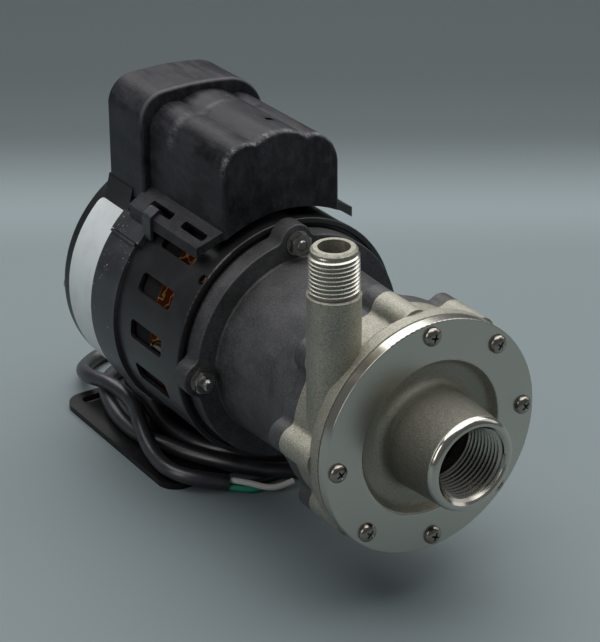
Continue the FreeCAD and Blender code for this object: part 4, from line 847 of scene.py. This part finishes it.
class PUMP_OT_rating_plate(bpy.types.Operator):
    """Lays the bare white plate round the rear shell"""
    bl_idname = "pump.rating_plate"
    bl_label = "Rating Plate"

    def execute(self, context):
        start, end = PLATE_STATIONS
        first, last = PLATE_ANGLES
        deselect()
        bpy.ops.mesh.primitive_cylinder_add(vertices=96, radius=PLATE_RADIUS, depth=(end - start) / 1000,
                                            end_fill_type="NOTHING", rotation=(math.pi / 2, 0, 0),
                                            location=(0, at((start + end) / 2), AXIS_Z))
        plate = settle(named("rating_plate"))

        def angle_of(co):
            return math.degrees(math.atan2(co.z - AXIS_Z, co.x)) % 360.0

        pick(plate, "FACE", lambda co, _: not first < angle_of(co) < last)
        bpy.ops.mesh.delete(type="FACE")
        bpy.ops.object.mode_set(mode="OBJECT")
        turns = [angle_of(v.co) for v in plate.data.vertices]
        ends = (min(turns), max(turns))
        pick(plate, "VERT", lambda co, _: min(abs(angle_of(co) - e) for e in ends) < 0.1)
        bpy.ops.mesh.bevel(offset=PLATE_CORNER, offset_type="OFFSET", segments=6, affect="VERTICES")
        bpy.ops.object.mode_set(mode="OBJECT")
        modify(plate, "SOLIDIFY", thickness=PLATE_THICK, offset=1.0)
        fit_piece(smooth(plate, 40.0), plate_card(palette()), "shell_paint")
        return {"FINISHED"}


# Supply cord

# Control points as x, station and height, all in millimetres
LEAD_POINTS = [
    (59.38, 203.0, 21.53), (65.3, 203.0, 16.2), (72.0, 209.0, 9.8), (79.5, 221.0, 6.0), (80.0, 238.0, 4.2),
    (67.0, 251.0, 4.1), (47.0, 256.0, 4.3), (26.0, 254.5, 4.1),
]
LOOP_POINTS = [
    (8, 252.5, 4.1), (-9, 248, 4.1), (-21, 241, 5.5), (-29.5, 232, 7), (-34.5, 222, 7), (-38.3, 211, 7),
    (-41.3, 198, 7), (-42.3, 184, 7), (-40.5, 171, 7), (-35.5, 161, 7), (-32.5, 151, 7), (-28, 142, 7),
    (-23, 133.5, 7), (-16, 125.3, 6.0), (-5.5, 117.5, 4.3), (3, 111.8, 3.95), (14, 109.5, 3.95),
    (27, 111.5, 3.95), (37.5, 119, 4.4), (44, 131, 6.8), (46.5, 147, 7), (46.5, 168, 7), (45.5, 190, 7),
    (42.5, 210, 7), (36, 227, 7), (25, 238.5, 5.4), (10, 242.5, 4.1), (-5, 240, 4.8), (-16, 232, 6.9),
    (-19.5, 219, 7), (-20, 204, 7), (-23, 191, 7), (-26, 180, 7), (-26, 169, 7), (-24, 157, 7),
    (-21, 149.5, 7), (-16.5, 141, 7), (-8, 132.5, 7), (2, 126.5, 5.8), (14, 123.5, 4.6), (26, 126, 5.4),
    (33.5, 134, 7), (37, 147, 7), (37.5, 166, 7), (37, 186, 7.8), (37, 204, 10.8), (38.5, 218, 14.6),
    (39.5, 230, 14.4), (37, 243, 12.2), (30, 254, 11.6), (18, 262.5, 6.6), (4, 266, 4.1),
    (-7, 266.5, 4), (-15.7, 265, 4), (-24, 260, 4.6), (-33, 250, 7.4), (-37, 236, 11.2),
    (-35, 221, 14.2), (-33, 208, 13.8), (-34.6, 194, 13.6), (-41, 177, 14.6), (-45, 163.5, 10.4),
]
TAIL_POINTS = [(-46.6, 152.5, 7.6), (-47.5, 138.0, 7.5), (-40.0, 125.6, 6.6), (-27.0, 118.6, 4.05)]
WIRE_POINTS = {
    "white": [(-27.0, 118.6, 5.5), (-21.4, 113.4, 5.2), (-13.0, 106.0, 2.6), (-7.0, 104.0, 2.9),
              (-1.6, 102.6, 4.7)],
    "green": [(-28.0, 117.3, 2.8), (-23.6, 113.2, 2.2), (-18.4, 109.6, 1.8), (-13.4, 109.4, 1.7)],
    "black": [(-25.8, 119.9, 2.8), (-18.0, 115.6, 2.2), (-9.4, 114.2, 1.9), (0.4, 114.6, 1.9)],
}


def soft_line(name, points_mm, width):
    """A smooth round cord along control points."""
    curve = bpy.data.curves.new(name, "CURVE")
    curve.dimensions = "3D"
    spline = curve.splines.new("NURBS")
    spline.points.add(len(points_mm) - 1)
    for point, (x, station, height) in zip(spline.points, points_mm):
        point.co = (x / 1000, at(station), height / 1000, 1.0)
    spline.order_u = 3
    spline.use_endpoint_u = True
    spline.resolution_u = 8
    curve.bevel_depth = width / 2
    curve.bevel_resolution = 6
    curve.use_fill_caps = True
    line = bpy.data.objects.new(name, curve)
    bpy.context.collection.objects.link(line)
    return line


def line_length(points_mm):
    probe = soft_line("probe", points_mm, 0.001)
    probe.data.bevel_depth = 0.0
    mesh = bpy.data.meshes.new_from_object(probe)
    places = [v.co for v in mesh.vertices]
    total = sum((places[a] - places[b]).length for a, b in (e.vertices for e in mesh.edges))
    bpy.data.objects.remove(probe)
    bpy.data.meshes.remove(mesh)
    return total


class PUMP_OT_supply_cord(bpy.types.Operator):
    """Lays the supply cord from its relief in three loose loops round the foot to its stripped end"""
    bl_idname = "pump.supply_cord"
    bl_label = "Supply Cord"

    def execute(self, context):
        s = sizes()
        paint = {"white": (0.74, 0.73, 0.69), "green": (0.02, 0.30, 0.20), "black": (0.02, 0.02, 0.02)}
        for color, points in WIRE_POINTS.items():
            wire = soft_line(f"conductor_{color}", points, s.wire_width)
            fit_piece(wire, soft_plastic(f"{color}_cover", paint[color], 0.35), "conductor_cover")
        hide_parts("cord_conductors")
        points = LEAD_POINTS + LOOP_POINTS + TAIL_POINTS
        cord = soft_line("supply_cord", points, s.cord_width)
        fit_piece(cord, cord_rubber(palette()), "cord_jacket", "cord_lead", "cord_loops", "cord_tail")
        x, station, height = points[0]
        at(station)
        round(line_length(points), 3)
        return {"FINISHED"}


# Finishes of the carried-over nodes

def node_finishes(colors):
    """Which finish each record slot gets."""
    return {
        "machined_steel": machined_and_cast_cover(colors),
        "cast_steel": blasted_casting(colors),
        "screw_steel": bright_fastener("screw_shank_steel", (0.6, 0.58, 0.55)),
        "zinc_steel": bright_fastener("zinc_plated_steel", (0.42, 0.41, 0.385), 0.22),
        "black_moulding": bracket_plastic(colors),
        "cover_moulding": cover_plastic(colors),
        "shell_paint": shell_enamel(colors),
        "foot_paint": moulded_plastic("foot_enamel", toned(colors.enamel, 0.4), toned(colors.enamel, 1.1),
                                      0.36, 1200.0, 0.00003, 40.0, specular_ior_level=0.22),
        "strap_moulding": strap_plastic(colors),
        "can_plastic": soft_plastic("can_plastic", (0.05, 0.05, 0.055)),
        "impeller_plastic": soft_plastic("impeller_plastic", (0.06, 0.06, 0.065)),
        "magnet_ferrite": soft_plastic("magnet_ferrite", (0.05, 0.047, 0.047), 0.55),
        "bushing_carbon": soft_plastic("bushing_carbon", (0.03, 0.03, 0.033), 0.4),
        "ceramic_white": soft_plastic("ceramic_white", (0.8, 0.78, 0.72), 0.2),
        "seal_rubber": moulded_plastic("seal_rubber", (0.015, 0.015, 0.016), (0.03, 0.03, 0.032), 0.5,
                                       1500.0, 0.00004),
        "hub_aluminium": bright_fastener("hub_aluminium", (0.62, 0.62, 0.63), 0.4),
        "insert_brass": bright_fastener("insert_brass", (0.75, 0.55, 0.25), 0.35),
        "lamination_steel": laminated_steel(),
        "winding_copper": enamelled_wire(),
        "shaft_steel": bright_fastener("shaft_steel", (0.58, 0.58, 0.57), 0.25),
        "fan_plastic": soft_plastic("fan_plastic", (0.03, 0.03, 0.032)),
        "capacitor_case": bright_fastener("capacitor_case", (0.6, 0.6, 0.6), 0.4),
        "cord_jacket": cord_rubber(colors),
        "conductor_cover": soft_plastic("conductor_cover", (0.6, 0.6, 0.56)),
    }


class PUMP_OT_finishes(bpy.types.Operator):
    """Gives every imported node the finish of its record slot"""
    bl_idname = "pump.finishes"
    bl_label = "Finishes"

    def execute(self, context):
        finishes = node_finishes(palette())
        for entry in frame["record"]["subparts"]:
            node = frame["nodes"][entry["node"]]
            finish = finishes[entry["material_slot"]]
            if node.material_slots:
                for slot in node.material_slots:
                    slot.material = finish
            else:
                node.data.materials.append(finish)
        return {"FINISHED"}


# Stage

CAMERA_PLACE = Vector((-0.47267, -0.80484, 0.51606))
CAMERA_TURN = (-33.267, 26.415, -0.258)
CAMERA_LENS = 121.36
AWAY_X, AWAY_Y = 0.5486, 0.8361
FLOOR_SIZE = 16.0
SKY_COLOR, SKY_STRENGTH = (0.93, 0.97, 1.0, 1.0), 0.125
# Name, place, target, width, height and power of each lamp
LAMPS = (
    ("lamp_top", (0.27, 0.22, 1.40), (0, -0.05, 0.05), 2.4, 2.4, 44.0),
    ("lamp_left", (-1.30, -0.16, 0.70), (0, -0.05, 0.06), 0.5, 0.8, 3.1),
    ("lamp_right", (1.20, -0.40, 0.70), (0, -0.1, 0.06), 0.8, 1.0, 2.0),
)


def soft_lamp(name, place, target, width, height, power):
    """A white area lamp that faces a target."""
    deselect()
    bpy.ops.object.light_add(type="AREA", location=place)
    lamp = bpy.context.object
    lamp.name = name
    lamp.data.shape = "RECTANGLE"
    lamp.data.size = width
    lamp.data.size_y = height
    lamp.data.energy = power
    lamp.rotation_euler = (Vector(place) - Vector(target)).to_track_quat("Z", "Y").to_euler()
    return lamp


def floor_paint(colors):
    """Pale grey with painted light and shade: a lighter band just behind the pump, then painted shade growing
    darker further back, standing for a sweep that the light doesn't reach.
    """
    f = Finish("floor_paint", tuple(colors.floor), 0.55, specular_ior_level=0.25)
    split = f.node("ShaderNodeSeparateXYZ", None, {0: f.place})
    x, y, _ = (Value(f, s) for s in split.outputs)
    depth = x * AWAY_X + y * AWAY_Y
    # Painted light and shade along the view: lighter just behind the pump, darker further back
    level = f.between(depth, 0.19, 0.26, 0.62, 0.78) - f.between(depth, 0.245, 0.395, 0.0, 0.70)
    level = (level - f.between(depth, 0.38, 0.50, 0.0, 0.08)) / 0.78
    f.put("Base Color", f.mix(level, toned(colors.floor, 0.38), toned(colors.floor, 1.16)))
    return f.material


class PUMP_OT_stage(bpy.types.Operator):
    """Sets the camera, the floor and the studio lamps"""
    bl_idname = "pump.stage"
    bl_label = "Stage"

    def execute(self, context):
        az, el, roll = (math.radians(v) for v in CAMERA_TURN)
        back = Vector((math.sin(az) * math.cos(el), -math.cos(az) * math.cos(el), math.sin(el)))
        right = (-back).cross(Vector((0, 0, 1))).normalized()
        up = back.cross(right).normalized()
        tilt_right = math.cos(roll) * right + math.sin(roll) * up
        tilt_up = -math.sin(roll) * right + math.cos(roll) * up
        deselect()
        bpy.ops.object.camera_add()
        camera = bpy.context.object
        camera.name = "camera"
        turn = Matrix((tilt_right, tilt_up, back)).transposed().to_4x4()
        camera.matrix_world = Matrix.Translation(CAMERA_PLACE) @ turn
        camera.data.sensor_fit = "VERTICAL"
        camera.data.sensor_height = 36.0
        camera.data.lens = CAMERA_LENS
        camera.data.clip_end = 50.0
        context.scene.camera = camera

        deselect()
        bpy.ops.mesh.primitive_plane_add(size=FLOOR_SIZE, location=(0, 0, 0))
        floor = named("floor")
        floor.data.materials.append(floor_paint(palette()))

        for lamp in LAMPS:
            soft_lamp(*lamp)
        world = context.scene.world or bpy.data.worlds.new("world")
        context.scene.world = world
        world.use_nodes = True
        background = next(n for n in world.node_tree.nodes if n.type == "BACKGROUND")
        background.inputs["Color"].default_value = SKY_COLOR
        background.inputs["Strength"].default_value = SKY_STRENGTH
        context.scene.view_settings.view_transform = "Standard"
        return {"FINISHED"}


OPERATORS = (
    PUMP_OT_stage, PUMP_OT_supply_cord, PUMP_OT_finishes, PUMP_OT_inlet_thread, PUMP_OT_outlet_thread,
    PUMP_OT_bolt_threads, PUMP_OT_cover_screws, PUMP_OT_windings, PUMP_OT_rating_plate,
)


class PUMP_PT_panel(bpy.types.Panel):
    """Lists the pump's sizes, colours and pieces"""
    bl_idname = "PUMP_PT_panel"
    bl_label = "Magnetic Drive Pump"
    bl_space_type = "VIEW_3D"
    bl_region_type = "UI"
    bl_category = "Pump"

    def draw(self, context):
        for group in (context.scene.pump_sizes, context.scene.pump_colors):
            column = self.layout.column(align=True)
            for name in group.bl_rna.properties.keys():
                if name not in ("rna_type", "name"):
                    column.prop(group, name)
        for operator in OPERATORS:
            self.layout.operator(operator.bl_idname)


CLASSES = (PumpSizes, PumpColors, *OPERATORS, PUMP_PT_panel)


def register():
    for cls in CLASSES:
        bpy.utils.register_class(cls)
    bpy.types.Scene.pump_sizes = PointerProperty(type=PumpSizes)
    bpy.types.Scene.pump_colors = PointerProperty(type=PumpColors)


def unregister():
    del bpy.types.Scene.pump_colors
    del bpy.types.Scene.pump_sizes
    for cls in reversed(CLASSES):
        bpy.utils.unregister_class(cls)


def main():
    register()
    bpy.ops.pump.stage()
    bpy.ops.pump.supply_cord()
    bpy.ops.pump.finishes()
    bpy.ops.pump.inlet_thread()
    bpy.ops.pump.outlet_thread()
    bpy.ops.pump.bolt_threads()
    bpy.ops.pump.cover_screws()
    bpy.ops.pump.windings()
    bpy.ops.pump.rating_plate()
    deselect()


if __name__ == "__main__":
    main()
